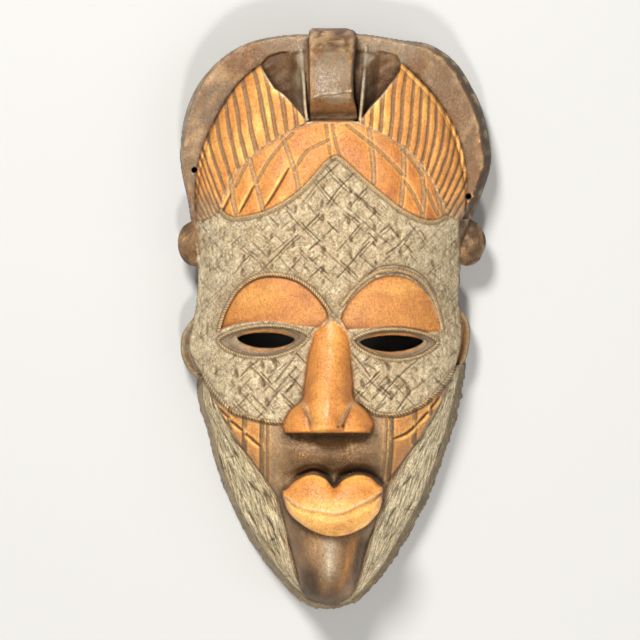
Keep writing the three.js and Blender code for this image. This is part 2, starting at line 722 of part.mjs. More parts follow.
function carve() {
  const plateZ = (x, y) => faceZ(x, y);
  const bandZ = (x, y) => faceZ(x, y) + BAND_RISE;
  const bandOutline = [
    ...curvePoints(bandTop, 24), ...curvePoints([...bandBottomRight].reverse(), 10),
    ...curvePoints([...bandBottomLeft].reverse(), 12),
  ];
  const rope = (points, steps) => strip(points, steps, ROPE_WIDTH, ROPE_RISE, plateZ);
  const groove = (points) => strip(
    points, points.length > 3 ? 4 : 2, LEAF_GROOVE_WIDTH, -LEAF_GROOVE_DEPTH, bandZ,
  );
  const lobes = [leftLobe, rightLobe].map(({ outer, inner }) => hairLobe(outer, inner));

  let wood = faceBlock(lowerFaceZ);
  wood = wood.add(raisedFace(0).intersect(prism(plateOutline(), 0, CUT_TOP_Z)));
  wood = wood.intersect(prism(headOutline(), 2 * CUT_BOTTOM_Z, CUT_TOP_Z));
  wood = wood.add(raisedFace(BAND_RISE).intersect(prism(bandOutline, 0, CUT_TOP_Z)));
  wood = wood.add(crestFlange());
  lobes.forEach((lobe) => { wood = wood.add(lobe); });
  wood = wood.subtract(prism(crownGap, CROWN_GAP_Z, CUT_TOP_Z));
  [leftFin, rightFin].forEach((points) => { wood = wood.add(fin(points)); });
  wood = wood.add(topknot());
  leafGrooves.forEach((points) => { wood = wood.subtract(groove(points)); });
  [bandTop, bandBottomLeft, bandBottomRight].forEach((points) => {
    wood = wood.add(strip(points, 12, ROPE_WIDTH, ROPE_RISE, bandZ));
  });
  lids.forEach((lid) => { wood = wood.subtract(lidCut(lid)).add(rope(lid.rope, 10)); });
  [leftCheekEdge, rightCheekEdge].forEach((points) => { wood = wood.add(rope(points, 9)); });
  latticeBars.forEach((points) => {
    wood = wood.add(strip(points, 2, 3, 1.4, lowerFaceZ));
  });
  latticeCuts.forEach((points) => {
    wood = wood.subtract(strip(points, 4, 3.4, -3.5, lowerFaceZ));
  });
  jaws.forEach((jaw) => { wood = wood.add(jawBand(jaw)); });
  ears.forEach((points) => { wood = wood.add(ear(points)); });
  knobs.forEach((spec) => { wood = wood.add(knob(spec)); });
  wood = wood.add(nose()).add(lips());
  eyes.forEach((eye) => { wood = wood.subtract(eyeCut(eye)); });
  cordHoles.forEach((place) => { wood = wood.subtract(cordHole(place)); });
  return wood.subtract(hollow()).subtract(backSaw());
}

// Points are drawn in towards the sight line by their height, and set on the origin
function drawIn(mesh) {
  const source = mesh.vertProperties;
  const position = new Float32Array(source.length);
  for (let i = 0; i < source.length; i += 3) {
    const scale = 1 - source[i + 2] / SIGHT_HEIGHT;
    for (const axis of [0, 1]) {
      const away = source[i + axis] - SIGHT_POINT[axis];
      position[i + axis] = SIGHT_POINT[axis] + away * scale - ORIGIN_SHIFT[axis];
    }
    position[i + 2] = source[i + 2];
  }
  const geometry = new THREE.BufferGeometry();
  geometry.setAttribute('position', new THREE.BufferAttribute(position, 3));
  geometry.setIndex(new THREE.BufferAttribute(new Uint32Array(mesh.triVerts), 1));
  geometry.computeVertexNormals();
  return geometry;
}

const wood = new THREE.MeshStandardMaterial({ color: 0xb4864f, roughness: 0.6, metalness: 0 });
const mask = new THREE.Mesh(drawIn(carve().getMesh()), wood);
mask.name = 'mask';

const group = new THREE.Group();
group.add(mask);

export default group;
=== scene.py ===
import math

import bmesh
import bpy
import numpy as np
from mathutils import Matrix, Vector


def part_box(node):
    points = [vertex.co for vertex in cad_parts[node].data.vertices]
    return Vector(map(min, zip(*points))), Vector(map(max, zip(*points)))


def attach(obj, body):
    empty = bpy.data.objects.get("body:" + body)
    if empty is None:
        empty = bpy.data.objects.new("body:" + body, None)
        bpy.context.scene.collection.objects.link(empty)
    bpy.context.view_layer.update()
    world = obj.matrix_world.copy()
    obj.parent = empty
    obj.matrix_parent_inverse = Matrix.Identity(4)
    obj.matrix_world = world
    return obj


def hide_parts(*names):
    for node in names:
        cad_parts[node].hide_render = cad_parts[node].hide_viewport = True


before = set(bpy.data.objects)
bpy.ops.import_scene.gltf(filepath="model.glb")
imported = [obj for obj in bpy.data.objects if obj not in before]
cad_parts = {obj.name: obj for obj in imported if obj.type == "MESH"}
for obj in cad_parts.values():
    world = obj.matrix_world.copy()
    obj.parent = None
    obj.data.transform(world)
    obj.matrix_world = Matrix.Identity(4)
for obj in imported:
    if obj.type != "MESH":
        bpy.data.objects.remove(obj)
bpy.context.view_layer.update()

import openvdb
from mathutils import Vector

# Plan positions are as seen from SIGHT_HEIGHT above SIGHT_POINT; +X right, +Y crown
SIGHT_HEIGHT = 3000
SIGHT_POINT = (-9.8, -0.7)
ORIGIN_SHIFT = (0.71, 0.2)
CHIN_END_Y = -200.9
FACE_TOP_Y = 188
FACE_BLOCK_Y = 70
OUTSIDE_Z = -10
MM = 0.001

# Sampling of the carving
CELL = 0.55
LAYER = 1.1
SOFT_EDGE = 1.1
TRIANGLES = 197000
FAR = 3.0
NOISE_CELLS = 257

# Heights above the rim
FLANGE_FRONT_Z = 43
FLANGE_BEVEL_Z = 26
CROWN_GAP_Z = 41
EAR_BACK_Z = 6
EAR_FRONT_Z = 28
EAR_MARGIN = 6
EAR_ROUNDING = 3
EAR_HOLLOW = 2.5
EAR_ROOT_X = 74
EAR_ROOT_Y = -16
KNOB_FACETS = 26
KNOB_FACET_REACH = 0.94

# Heights where the outer wall takes its own colour, and depths where the hollow does
WALL_FADE_Z = (27, 20)
INSIDE_FADE = (3, 9)

# Relief over the face form
LOWER_FACE_SINK = 3
BAND_RISE = 1.2
LOBE_RISE = 2.2
LID_SINK = 2.6
LID_DOME = 3.2
EYE_RECESS = 6

# Surfaces: colour, polish and roughness of crust
# Some surfaces are also laid as painted highlight, painted sheen or painted shade, where the carving
# says so
SURFACES = {
    "orange": ((0.55, 0.215, 0.042), 0.75, 0.1),
    "gold": ((0.84, 0.44, 0.11), 0.8, 0.1),
    "russet": ((0.38, 0.12, 0.025), 0.7, 0.15),
    "kaolin": ((0.455, 0.35, 0.205), 0.1, 1.0),
    "chalk_and_highlight": ((0.76, 0.64, 0.42), 0.1, 0.9),
    "ochre_and_shade": ((0.26, 0.16, 0.065), 0.15, 0.9),
    "bark": ((0.455, 0.36, 0.205), 0.15, 1.0),
    "rim": ((0.19, 0.145, 0.09), 0.1, 0.8),
    "seam": ((0.36, 0.22, 0.105), 0.4, 0.3),
    "rope": ((0.38, 0.265, 0.125), 0.4, 0.3),
    "slate": ((0.138, 0.082, 0.037), 0.85, 0.15),
    "umber_and_shade": ((0.15, 0.064, 0.016), 0.7, 0.15),
    "shade": ((0.045, 0.024, 0.009), 0.15, 0.3),
    "ash_and_highlight": ((0.36, 0.30, 0.21), 0.8, 0.2),
    "crease": ((0.06, 0.034, 0.016), 0.2, 0.5),
    "knot": ((0.235, 0.16, 0.09), 1.0, 0.1),
    "muzzle": ((0.155, 0.084, 0.032), 0.8, 0.2),
    "clay_shade_and_sheen": ((0.31, 0.195, 0.10), 0.6, 0.2),
    "violet": ((0.19, 0.152, 0.10), 0.5, 0.2),
    "fibre": ((0.62, 0.40, 0.08), 0.2, 0.4),
    "inside": ((0.13, 0.08, 0.045), 0.2, 0.5),
}

HOLLOW_DARK_COLOUR = np.array((0.30, 0.19, 0.10))
FLECK_COLOUR = (0.36, 0.195, 0.065, 1)
FIBRE_COLOUR = (0.50, 0.33, 0.08, 1)
# Fine scratches in the kaolin: direction in degrees, length, spacing and tone
HATCH_STROKES = ((46, 9, 2.4, 0.6), (-46, 8, 2.2, 0.6), (86, 7, 2.0, 0.7))

# Studio, in metres, and the camera's picture in millimetres
FLOOR_REACH = 6
FLOOR_COLOUR = (0.43, 0.42, 0.40)
LIGHT_TARGET = (0, 0, 0.05)
LIGHTS = (
    ("key", (-0.45, 1.15, 1.9), 0.5, 70),
    ("low", (0.05, -1.3, 2.0), 0.3, 34),
    ("fill", (1.1, -0.5, 1.6), 1.4, 11),
)
CAMERA_SENSOR = 36
PICTURE_WIDTH = 448

columns = np.arange(-113, 113.01, CELL)
rows = np.arange(-208, 208.01, CELL)
levels = np.arange(-4.5, 126, LAYER)
X, Y = np.meshgrid(columns, rows)


def along(knots):
    """Smooth run of a value along one axis, from a few (position, value) knots"""
    places, values = (np.array(side, float) for side in zip(*sorted(knots)))
    last = len(places) - 1

    def run(at):
        at = np.clip(np.asarray(at, float), places[0], places[-1])
        i = np.clip(np.searchsorted(places, at, side="right"), 1, last)
        t0, t1 = places[i - 1], places[i]
        half = (t1 - t0) / 2
        before = np.where(i > 1, places[i - 2], 2 * t0 - t1)
        after = np.where(i < last, places[np.minimum(i + 1, last)], 2 * t1 - t0)
        v_before = np.where(i > 1, values[i - 2], values[i])
        v_after = np.where(i < last, values[np.minimum(i + 1, last)], values[i - 1])
        w0, w1 = half / (t0 - before), half / (after - t1)
        p = (at - t0) / (t1 - t0)
        return (
            v_before * (-w0 * p**3 + 2 * w0 * p**2 - w0 * p)
            + values[i - 1] * ((1 + w0) * p**3 + (-1.5 - 2 * w0) * p**2 + (w0 - 0.5) * p + 1)
            + values[i] * ((-1 - w1) * p**3 + (1.5 + w1) * p**2 + 0.5 * p)
            + v_after * (w1 * p**3 - w1 * p**2)
        )

    return run


def curve(points, steps=None):
    """Points along a smooth curve through the given ones"""
    knots = np.array(points, float)
    last = len(knots) - 1
    place = np.linspace(0, last, (steps or 10 * last) + 1)
    i = np.minimum(place.astype(int), last - 1)
    t = (place - i)[:, None]
    p0, p1 = knots[np.maximum(i - 1, 0)], knots[i]
    p2, p3 = knots[i + 1], knots[np.minimum(i + 2, last)]
    v0, v1 = (p2 - p0) / 2, (p3 - p1) / 2
    return (2 * p1 - 2 * p2 + v0 + v1) * t**3 + (3 * p2 - 3 * p1 - 2 * v0 - v1) * t**2 + v0 * t + p1


def gap_to(path, reach):
    """Distance to a smooth path, for samples within reach"""
    return near(curve(path), reach)[0]


def from_point(x, y, half_width=1, half_height=1):
    """Distance from a point, counted in half widths and half heights"""
    return np.hypot((X - x) / half_width, (Y - y) / half_height)


def least(first, *others):
    """Smallest of several maps at each sample"""
    for other in others:
        first = np.minimum(first, other)
    return first


def length_of(points):
    """Length of a path"""
    return np.hypot(*np.diff(points, axis=0).T).sum()


def mix(a, b, share):
    return a + (b - a) * share


def ease(value, start, end):
    """0 at the start, 1 at the end, smooth between"""
    t = np.clip((value - start) / (end - start), 0, 1)
    return t * t * (3 - 2 * t)


def bell(value, width):
    """1 at zero, falling off over a width"""
    return np.exp(-((value / width) ** 2))


def window(low_x, high_x, low_y, high_y):
    """Rows and columns of the samples in a rectangle"""
    r = slice(np.searchsorted(rows, low_y), np.searchsorted(rows, high_y))
    c = slice(np.searchsorted(columns, low_x), np.searchsorted(columns, high_x))
    return r, c


def near(path, reach):
    """Distance to a path, place along it and offset to its left, for samples within reach"""
    gap = np.full(X.shape, float(reach))
    place = np.zeros(X.shape)
    offset = np.full(X.shape, float(reach))
    length = 0.0
    for a, b in zip(path[:-1], path[1:]):
        run = b - a
        size = math.hypot(*run)
        if size < 1e-9:
            continue
        low, high = np.minimum(a, b) - reach, np.maximum(a, b) + reach
        w = window(low[0], high[0], low[1], high[1])
        px, py = X[w] - a[0], Y[w] - a[1]
        t = np.clip((px * run[0] + py * run[1]) / size**2, 0, 1)
        away = np.hypot(px - t * run[0], py - t * run[1])
        closer = away < gap[w]
        side = np.sign(run[0] * py - run[1] * px)
        gap[w][closer] = away[closer]
        place[w][closer] = (length + t * size)[closer]
        offset[w][closer] = (side * away)[closer]
        length += size
    return gap, place, offset


def within(outline, reach=SOFT_EDGE):
    """Distance inside a closed outline, negative outside, no larger than reach"""
    outline = np.asarray(outline, float)
    closed = np.vstack([outline, outline[:1]])
    inside = np.zeros(X.shape, bool)
    for (ax, ay), (bx, by) in zip(closed[:-1], closed[1:]):
        if ay == by:
            continue
        low, high = min(ay, by), max(ay, by)
        lines = np.arange(np.searchsorted(rows, low), np.searchsorted(rows, high))
        crossing = ax + (rows[lines] - ay) / (by - ay) * (bx - ax)
        for line, column in zip(lines, np.searchsorted(columns, crossing)):
            inside[line, column:] ^= True
    gap = near(closed, reach)[0]
    return np.where(inside, gap, -gap)


def ramp(inward, width=SOFT_EDGE):
    """0 to 1 over a narrow edge"""
    return ease(inward, -width / 2, width / 2)


def value_noise(u, v, seed):
    """Smooth random field from -1 to 1 over two coordinates, one blob per unit"""
    table = np.random.default_rng(seed).uniform(-1, 1, (NOISE_CELLS, NOISE_CELLS))
    i, j = np.floor(u).astype(int), np.floor(v).astype(int)
    fu, fv = ease(u - i, 0, 1), ease(v - j, 0, 1)
    i0, j0, i1, j1 = (at % NOISE_CELLS for at in (i, j, i + 1, j + 1))
    low = mix(table[i0, j0], table[i1, j0], fu)
    high = mix(table[i0, j1], table[i1, j1], fu)
    return mix(low, high, fv)


def speckle(size, seed, stretch=1.0, turn=90.0):
    """Noise over the plan, with blobs of a size in mm drawn out along a direction in degrees"""
    c, s = math.cos(math.radians(turn)), math.sin(math.radians(turn))
    return value_noise((X * c + Y * s) / (size * stretch), (Y * c - X * s) / size, seed)


def spots(size, seed, start, end, stretch=1.0, turn=90.0):
    """Blotches from 0 to 1, where the noise passes from start to end"""
    return ease(speckle(size, seed, stretch, turn), start, end)


def ruled(lines, marks, steps_along=900, steps_across=300):
    """Places of the samples on a sheet stretched between paths: along, across, and whether on it"""
    along_places = np.linspace(0, 1, steps_along + 1)
    paths = [curve(line, steps_along) for line in lines]
    sums = [np.zeros(X.size) for _ in range(3)]
    for across in np.linspace(marks[0], marks[-1], steps_across + 1):
        k = min(int(np.searchsorted(marks, across, side="right")) - 1, len(marks) - 2)
        share = (across - marks[k]) / (marks[k + 1] - marks[k])
        points = mix(paths[k], paths[k + 1], share)
        i = np.rint((points[:, 0] - columns[0]) / CELL).astype(int)
        j = np.rint((points[:, 1] - rows[0]) / CELL).astype(int)
        for total, value in zip(sums, (1, along_places, across)):
            np.add.at(total, j * len(columns) + i, value)
    sums = [field.reshape(X.shape) for field in sums]
    # Samples that were missed take the mean of their neighbours
    for _ in range(3):
        empty = sums[0] == 0
        spread = [np.pad(field, 1) for field in sums]
        around = [f[:-2, 1:-1] + f[2:, 1:-1] + f[1:-1, :-2] + f[1:-1, 2:] for f in spread]
        sums = [np.where(empty, new, old) for new, old in zip(around, sums)]
    total = np.maximum(sums[0], 1)
    return sums[1] / total, sums[2] / total, sums[0] > 0


def blur(field, reach):
    """Box blur along rows and columns, run twice"""
    size = max(1, int(round(reach / CELL)))
    for _ in range(2):
        for axis in (0, 1):
            pads = [(size + 1, size) if k == axis else (0, 0) for k in (0, 1)]
            sums = np.cumsum(np.pad(field, pads, mode="edge"), axis)
            n = field.shape[axis]
            high = np.take(sums, np.arange(2 * size + 1, 2 * size + 1 + n), axis)
            low = np.take(sums, np.arange(0, n), axis)
            field = (high - low) / (2 * size + 1)
    return field


# The face form: a dome between two side edges, closed over the crown
face_left = along([
    (67.9, -97.3), (41.3, -95.6), (13.3, -95.9), (-4.2, -98.7), (-20.3, -101.2), (-41.3, -91.7),
    (-59.5, -82.6), (-83.3, -68.6), (-103.6, -54.3), (-124.6, -39.9), (-152.6, -32.2),
    (-174.3, -26.6), (-189.7, -22.4), (-196.7, -16.1), (CHIN_END_Y, -5),
])
face_right = along([
    (67.9, 94), (41.3, 88.9), (13.3, 87.5), (-11.9, 89.6), (-26.6, 86.8), (-41.3, 82.6),
    (-72.8, 67.2), (-95.2, 51.1), (-114.1, 38.5), (-130.2, 33.6), (-146.3, 27.3),
    (-163.8, 21), (-179.9, 17.8), (-194.6, 11.2), (CHIN_END_Y, 3),
])
face_crown = along([
    (80, 95), (40, 95), (20, 94), (6, 91), (-18, 86), (-57, 84), (-78, 86), (-106, 88),
    (-127, 92), (-148, 96), (-169, 94), (-183, 88), (-192, 78), (-197, 66), (CHIN_END_Y, 50),
])
face_side = along([
    (80, 41.5), (41, 30), (-15, 30), (-41, 40), (-60, 50), (-83, 58), (-114, 62), (-152, 58),
    (-175, 52), (-190, 44), (CHIN_END_Y, 34),
])
block_left = along([
    (70, -92), (95, -94), (130, -90), (155, -80), (175, -66), (FACE_TOP_Y, -50),
])
block_right = along([
    (70, 90), (95, 94), (130, 91), (155, 82), (175, 68), (FACE_TOP_Y, 52),
])

crest_outline = curve([
    (-95, 44), (-99.8, 67.9), (-102.2, 83.3), (-106.1, 100.8), (-107.5, 114.8), (-105.7, 135.8),
    (-100.8, 152.6), (-91.7, 168.7), (-76.3, 184.1), (-58.8, 193.6), (-37.8, 198.1),
    (-17.5, 199.2), (16.8, 199.5), (46.2, 195.3), (67.2, 191.8), (84.7, 179.9), (96.6, 161.7),
    (104.3, 144.2), (108.9, 121.8), (109.4, 106.4), (102.9, 86.1), (95.9, 69.3), (89, 44),
], 120)

# Hair lobes: outlines along the flange, the recess and the band, lean and places of the flutes
FLUTE_GROOVE = 0.36
FLUTE_DEPTH = 1.4
LOBE_MIDDLE_Y = 142.8
lobes = [
    {
        "outer": [(-97.3, 74.9), (-95.9, 105.7), (-86.1, 134.4), (-68.6, 163.1), (-51.5, 178.5)],
        "recess": [(-51.5, 178.5), (-48.3, 172.2), (-41.3, 161.3), (-30.8, 152.9), (-19.6, 139.8)],
        "inner": [(-19.6, 137.5), (-30.8, 131.6), (-44.8, 123.2), (-54.6, 115.9), (-70.7, 98.7),
                  (-80.5, 75.6), (-95.9, 68.6)],
        "lean": 0.13, "bow": 0.0026, "hand": 1,
        "grooves": [-123, -119.6, -116.3, -113, -109.7, -106.3, -103, -99.8, -96.3, -90.7, -82.6,
                    -74.9, -67.7, -59.7, -49.5, -42.9, -34.5, -27, -20, -13, -6],
    },
    {
        "outer": [(91.7, 74.9), (93.1, 100.8), (86.1, 131.6), (68.6, 158.9), (46.9, 179.9)],
        "recess": [(46.9, 179.9), (42.7, 168.7), (32.2, 155.4), (25.2, 148), (18.2, 139.8)],
        "inner": [(18.2, 136.2), (30.8, 130.9), (43.4, 123.9), (53.9, 115.5), (68.6, 96.6),
                  (78.4, 75.6), (88.9, 68.6)],
        "lean": 0, "bow": 0.0045, "hand": -1,
        "grooves": [-122, -117, -112, -107, -102, -97, -92, -87, -82.3, -77.3, -71.7, -66.1,
                    -60.1, -54.2, -47.2, -40.5, -32.8, -26, -20, -13, -6],
    },
]
right_lobe_strip = [
    (46.9, 177.1), (49.7, 175.2), (60.2, 164.2), (71.6, 151.9), (80.4, 136.9), (87.4, 121.1),
    (90.9, 104.3),
]

band_top = [
    (-80.5, 75.6), (-70.7, 98.7), (-54.6, 115.9), (-30.8, 131.6), (-10, 138.5), (10, 138.5),
    (30.8, 130.9), (53.9, 115.5), (68.6, 96.6), (79, 74.5),
]
band_bottom_left = [
    (-79.1, 75.6), (-74.2, 71), (-65.8, 70.3), (-50.4, 73.5), (-34.3, 81.2), (-20.3, 92),
    (-6.3, 107.8), (-0.7, 112.3),
]
band_bottom_right = [
    (-0.7, 112.7), (4.2, 112), (18.2, 99.4), (32.2, 87.5), (46.2, 76.6), (60.2, 69.3),
    (70.7, 67.9), (78.4, 71.4),
]
# Double-lined straps, fine double lines and wedge cuts of the hair band
band_straps = [
    [(-35.7, 126.7), (-30.1, 111.3), (-25.9, 97.3), (-24.5, 85.4)],
    [(-58.8, 111.3), (-55.3, 97.3), (-51.8, 85.4), (-49.7, 76.3)],
    [(-72.1, 97.3), (-70.7, 83.3), (-68.6, 74.2)],
    [(24.5, 132.3), (27.3, 111.3), (28, 95.2)],
    [(48.3, 120.4), (49, 104.3), (46.9, 79.8)],
    [(60.9, 107.8), (63, 86.8), (61.6, 70)],
    [(72.1, 90.3), (75.6, 70.7)],
]
band_lines = [
    [(-5.6, 135.8), (-4.2, 125.3), (-2.8, 116.2)],
    [(-1, 135.8), (0.7, 125.3), (4.2, 113.4)],
    [(-4.2, 125.3), (-16.8, 119), (-21.7, 114.1), (-28, 104.3)],
    [(9.1, 135.8), (21.7, 126), (34.3, 115.5), (44.1, 105.7), (47.6, 101.5)],
    [(48.3, 118.3), (53.2, 112.7), (61.6, 100.8)],
    [(49.7, 95.9), (54.6, 88.9), (58.1, 81.9), (61.6, 74.2)],
    [(65.1, 90.3), (68.6, 81.9), (72.8, 72.8)],
    [(-28.7, 130.2), (-35.7, 123.2), (-46.2, 109.9), (-53.9, 95.9)],
    [(-60.9, 109.2), (-65.8, 99.4), (-68.6, 93.1)],
]
band_wedges = [
    [(-56, 93.1), (-60.9, 83.3), (-66.5, 73.5)],
    [(-31.5, 105.7), (-37.8, 94.5), (-44.1, 84), (-49, 77.3)],
    [(-72.1, 87.5), (-74.9, 81.2), (-78.4, 74.2)],
]

recesses = [
    [(-51.4, 177.8), (-46.2, 183.8), (-37.8, 186.9), (-23.1, 187.6), (-15.4, 189), (-16.1, 138.6),
     (-18.9, 138.6), (-24.5, 145.6), (-30.8, 152.9), (-35.7, 157.8), (-41.3, 161.3),
     (-45.5, 167.6), (-48.3, 172.2)],
    [(46.9, 179.2), (43.4, 185.1), (32.2, 187.6), (22.4, 188.3), (13.3, 189), (14, 138.6),
     (17.8, 138.6), (25.2, 148), (32.2, 155.4), (35.7, 159.6), (39.2, 164.5), (42.7, 168.7),
     (46.2, 173.6)],
]
fins = [
    [(-23.1, 188.5), (-21.3, 167.3), (-19.9, 146.3), (-18.5, 138.6)],
    [(22.4, 190), (21, 170.8), (18.9, 146.3), (18.2, 138.6)],
]
FIN_WIDTH = 2.8
VALLEY_RISE = 19
KNOT_TOP_Y = 203.6
KNOT_END_Y = 138.6
knot_left = along([
    (KNOT_TOP_Y, -15), (202.4, -16.6), (198, -17.2), (150, -16.8), (KNOT_END_Y, -16.8),
])
knot_right = along([
    (KNOT_TOP_Y, 9), (202.2, 13), (200, 15.2), (195, 15.2), (160, 13), (KNOT_END_Y, 17),
])
knot_height = along([
    (KNOT_TOP_Y, 30), (202, 52), (198, 68), (192, 79), (185, 87), (177.8, 92), (167, 96),
    (155.5, 98), (149.8, 92), (KNOT_END_Y, 78),
])
knot_step = [(-16.1, 153.3), (-11.2, 155.4), (-6.3, 156.8), (-0.7, 156.8), (11.2, 158.9)]

left_cheek_edge = [
    (-93, -38), (-84.9, -50.4), (-73.5, -63.7), (-61.6, -68.6), (-46.9, -72.1), (-33, -73),
]
right_cheek_edge = [
    (19, -59.5), (29, -66.2), (43.8, -67.2), (58.1, -62.3), (72.1, -51.8), (86, -34),
]

lids = [
    {
        "arc": [(-79.2, -7.2), (-74.6, 6.6), (-65.3, 20.9), (-50.3, 29.5), (-31, 28.2),
                (-16.9, 20.1), (-6.8, 8.4), (-4, 0.5)],
        "base": [(-11.2, -5.6), (-25.5, -4.2), (-46.9, -1.4), (-68.6, -3.5)],
        "rope": [(-80.9, -7.7), (-75.9, 7), (-66.2, 22), (-50.4, 30.8), (-30.5, 29.4),
                 (-16.1, 21.2), (-5.6, 9.1), (-3, 3.5)],
        "middle": -40, "twisted": 1.0,
    },
    {
        "arc": [(4.6, 0.4), (9.8, 10.9), (20.6, 22.4), (32.7, 29.5), (46.9, 30.1),
                (58.5, 24.2), (67.6, 13.3), (72.8, -1.2), (74, -8.8)],
        "base": [(65.8, -9.5), (46.9, -5.9), (24.5, -6.3), (9.1, -7.3)],
        "rope": [(5.6, 9.8), (16.8, 23.1), (31, 32.9), (46.9, 33.6), (61.6, 26.6),
                 (71.4, 11.2), (76.3, -7.7)],
        "middle": 39, "twisted": 0.5,
    },
]
# Plain grooves beside the right lid, inside and outside its moulding
right_lid_lines = [
    [(23, 30.5), (32, 36.5), (47, 37.4), (62, 30.5), (73, 15)],
    [(30, 31), (46.9, 31.6), (58.5, 26), (67, 15.5)],
]

eyes = [
    {
        "lens": {"left": -81.6, "right": -17.6, "tilt": 3, "rise": 9, "drop": 13.5, "y": -13.6},
        "slit": {"left": -67.2, "right": -28, "tilt": -0.9, "rise": 4.2, "drop": 6, "y": -14},
    },
    {
        "lens": {"left": 13.3, "right": 73, "tilt": -1, "rise": 8.6, "drop": 13, "y": -15.6},
        "slit": {"left": 18.7, "right": 61.9, "tilt": 0.6, "rise": 4, "drop": 6.6, "y": -15.8},
    },
]

# How the fine line inside each lens differs from it
EYE_LINE = {"left": 7, "right": -7, "rise": -2.2, "drop": -2.6}

NOSE_TOP_Y = -1.5
NOSE_END_Y = -79.5
NOSE_AXIS_X = -5
WING_Z = 104
nose_left = along([
    (NOSE_TOP_Y, -2), (-4.2, -7), (-8.4, -12.9), (-16.1, -15.7), (-29.4, -18.9), (-46.2, -21),
    (-57.4, -23.2), (-60, -25.9), (-63.7, -30.5), (-68.6, -33.6), (-74.2, -36.1),
    (NOSE_END_Y, -35),
])
nose_right = along([
    (NOSE_TOP_Y, 1), (-5.6, 6.3), (-13, 10.5), (-27.3, 11.9), (-42.7, 13.3), (-57.4, 15.2),
    (-60.2, 18.2), (-63, 21.4), (-67.9, 25.2), (-72.8, 28), (NOSE_END_Y, 26),
])
nose_ridge = along([
    (NOSE_TOP_Y, 90), (-10, 93), (-40, 106), (-60, 115), (-72, 121), (-77, 121),
    (NOSE_END_Y, 117),
])
wing_creases = [
    [(-23.1, -57.4), (-20.3, -61.6), (-18.5, -67.2), (-17.9, -73.5)],
    [(15.2, -57.4), (10.8, -61.6), (7.7, -67.2), (5.6, -73.5)],
]
# Line of the painted highlight down the nose
nose_highlight = [(-2.1, -3), (-3.5, -40), (-4.9, -68)]
nose_pits = [(2.8, -75.6), (5.9, -74.9)]

LIP_LEFT_X = -35.7
LIP_RIGHT_X = 34.1
LIP_CENTER_Z = 112
LIP_CORNER_DROP = 14
LIP_PARTING = 0.56
lip_top = along([
    (LIP_LEFT_X, -120.4), (-26.6, -113.4), (-16.1, -108.9), (-6, -112), (0.3, -118.3),
    (6.3, -113), (16, -109.2), (25, -110.8), (LIP_RIGHT_X, -117.6),
])
lip_part = along([
    (LIP_LEFT_X, -124), (-26.6, -130.2), (-18.9, -133), (-10.5, -134.4), (3.5, -135.8),
    (18.2, -129.5), (26.6, -125.6), (LIP_RIGHT_X, -121),
])
lip_bottom = along([
    (LIP_LEFT_X, -126), (-32.9, -133), (-23.1, -143.2), (-9.1, -150.5), (2.1, -152),
    (16.1, -148.3), (28.4, -138.6), (33.3, -128.8), (LIP_RIGHT_X, -123),
])
lip_profile = along([
    (0, -10), (0.1, -5.5), (0.35, -1.5), (0.53, 0), (0.57, -0.3), (0.62, -1.9), (0.75, -1.7),
    (0.9, -6), (1, -12),
])
chin_stripe = [(16.5, -148), (13, -160), (9.5, -173), (6.6, -186)]
above_lips = [
    (-35.7, -118.4), (-27.4, -111.5), (-19.6, -106.8), (-14.7, -105.4), (-9.8, -106.6),
    (-4.9, -109.8), (0.2, -115.4), (4.9, -110), (11.2, -106.7), (18.9, -105.7), (26.6, -108.4),
    (34.3, -114.6),
]

jaws = [
    {
        "relief": 1.0, "grey_wall": 0.5,
        "rim": [(-95.2, -34.3), (-95.9, -56.7), (-88.9, -78.4), (-82.8, -103.6), (-71.4, -132),
                (-54.6, -162.4), (-33.6, -188.3), (-17.5, -201.6), (-1.4, -203.7)],
        "edge": [(-91, -34.3), (-91.7, -56.7), (-84.7, -78.4), (-78.4, -103.6), (-67.2, -130.2),
                 (-50.4, -159.6), (-30.1, -184.8), (-15.4, -198.1), (-1.4, -201.6)],
        "inner": [(-88, -37.1), (-83, -55.3), (-73.5, -76.3), (-58.8, -97.3), (-39.9, -124.6),
                  (-31.5, -155.4), (-24.5, -184.1), (-11.2, -196.5), (-1.4, -198)],
    },
    {
        "relief": 0.55, "grey_wall": 0.9,
        "rim": [(93.1, -30.1), (90.3, -49.7), (85.9, -71.4), (78.8, -92.4), (67.9, -122.5),
                (54.5, -148.4), (38.5, -174.3), (18.2, -196.7), (-1.4, -203.7)],
        "edge": [(88.9, -30.1), (84.7, -51.1), (79.8, -71.4), (72.8, -95.2), (61.6, -123.2),
                 (47.6, -149.1), (32.2, -174.3), (14, -194.6), (-1.4, -201.6)],
        "inner": [(82, -35.7), (74.2, -59.9), (64.4, -77), (51.1, -95.6), (37.1, -121.1),
                  (27.3, -146.3), (19.6, -172.2), (11.2, -192), (-1.4, -198)],
    },
]
jaw_inner_z = along([
    (0, 36), (0.125, 47), (0.25, 54), (0.375, 58), (0.5, 60), (0.625, 54), (0.75, 45),
    (0.875, 36), (1, 33),
])
JAW_EDGE_Z = 28
JAW_LENGTH = 210
JAW_WIDTH = 20
ears = [
    [(-94.1, 7), (-99.1, 0), (-103, -4.9), (-106.3, -10.9), (-107.3, -18.2), (-107, -24.5),
     (-104.8, -30.8), (-101.2, -36.4), (-97, -40.6), (-91.9, -43)],
    [(86.6, 11.2), (89.6, 5.6), (92.7, 1.1), (94.9, -4.2), (95.3, -11.9), (94.5, -19.6),
     (92.7, -27), (89.6, -32.2), (85.8, -36.1), (80, -40)],
]
knobs = [
    {"center": (-97, 53, 26), "size": (12.4, 16.3, 16), "wear_and_glint": (-107, 55)},
    {"center": (93, 53.5, 26), "size": (13.4, 16.3, 16), "wear_and_glint": (91, 48)},
]

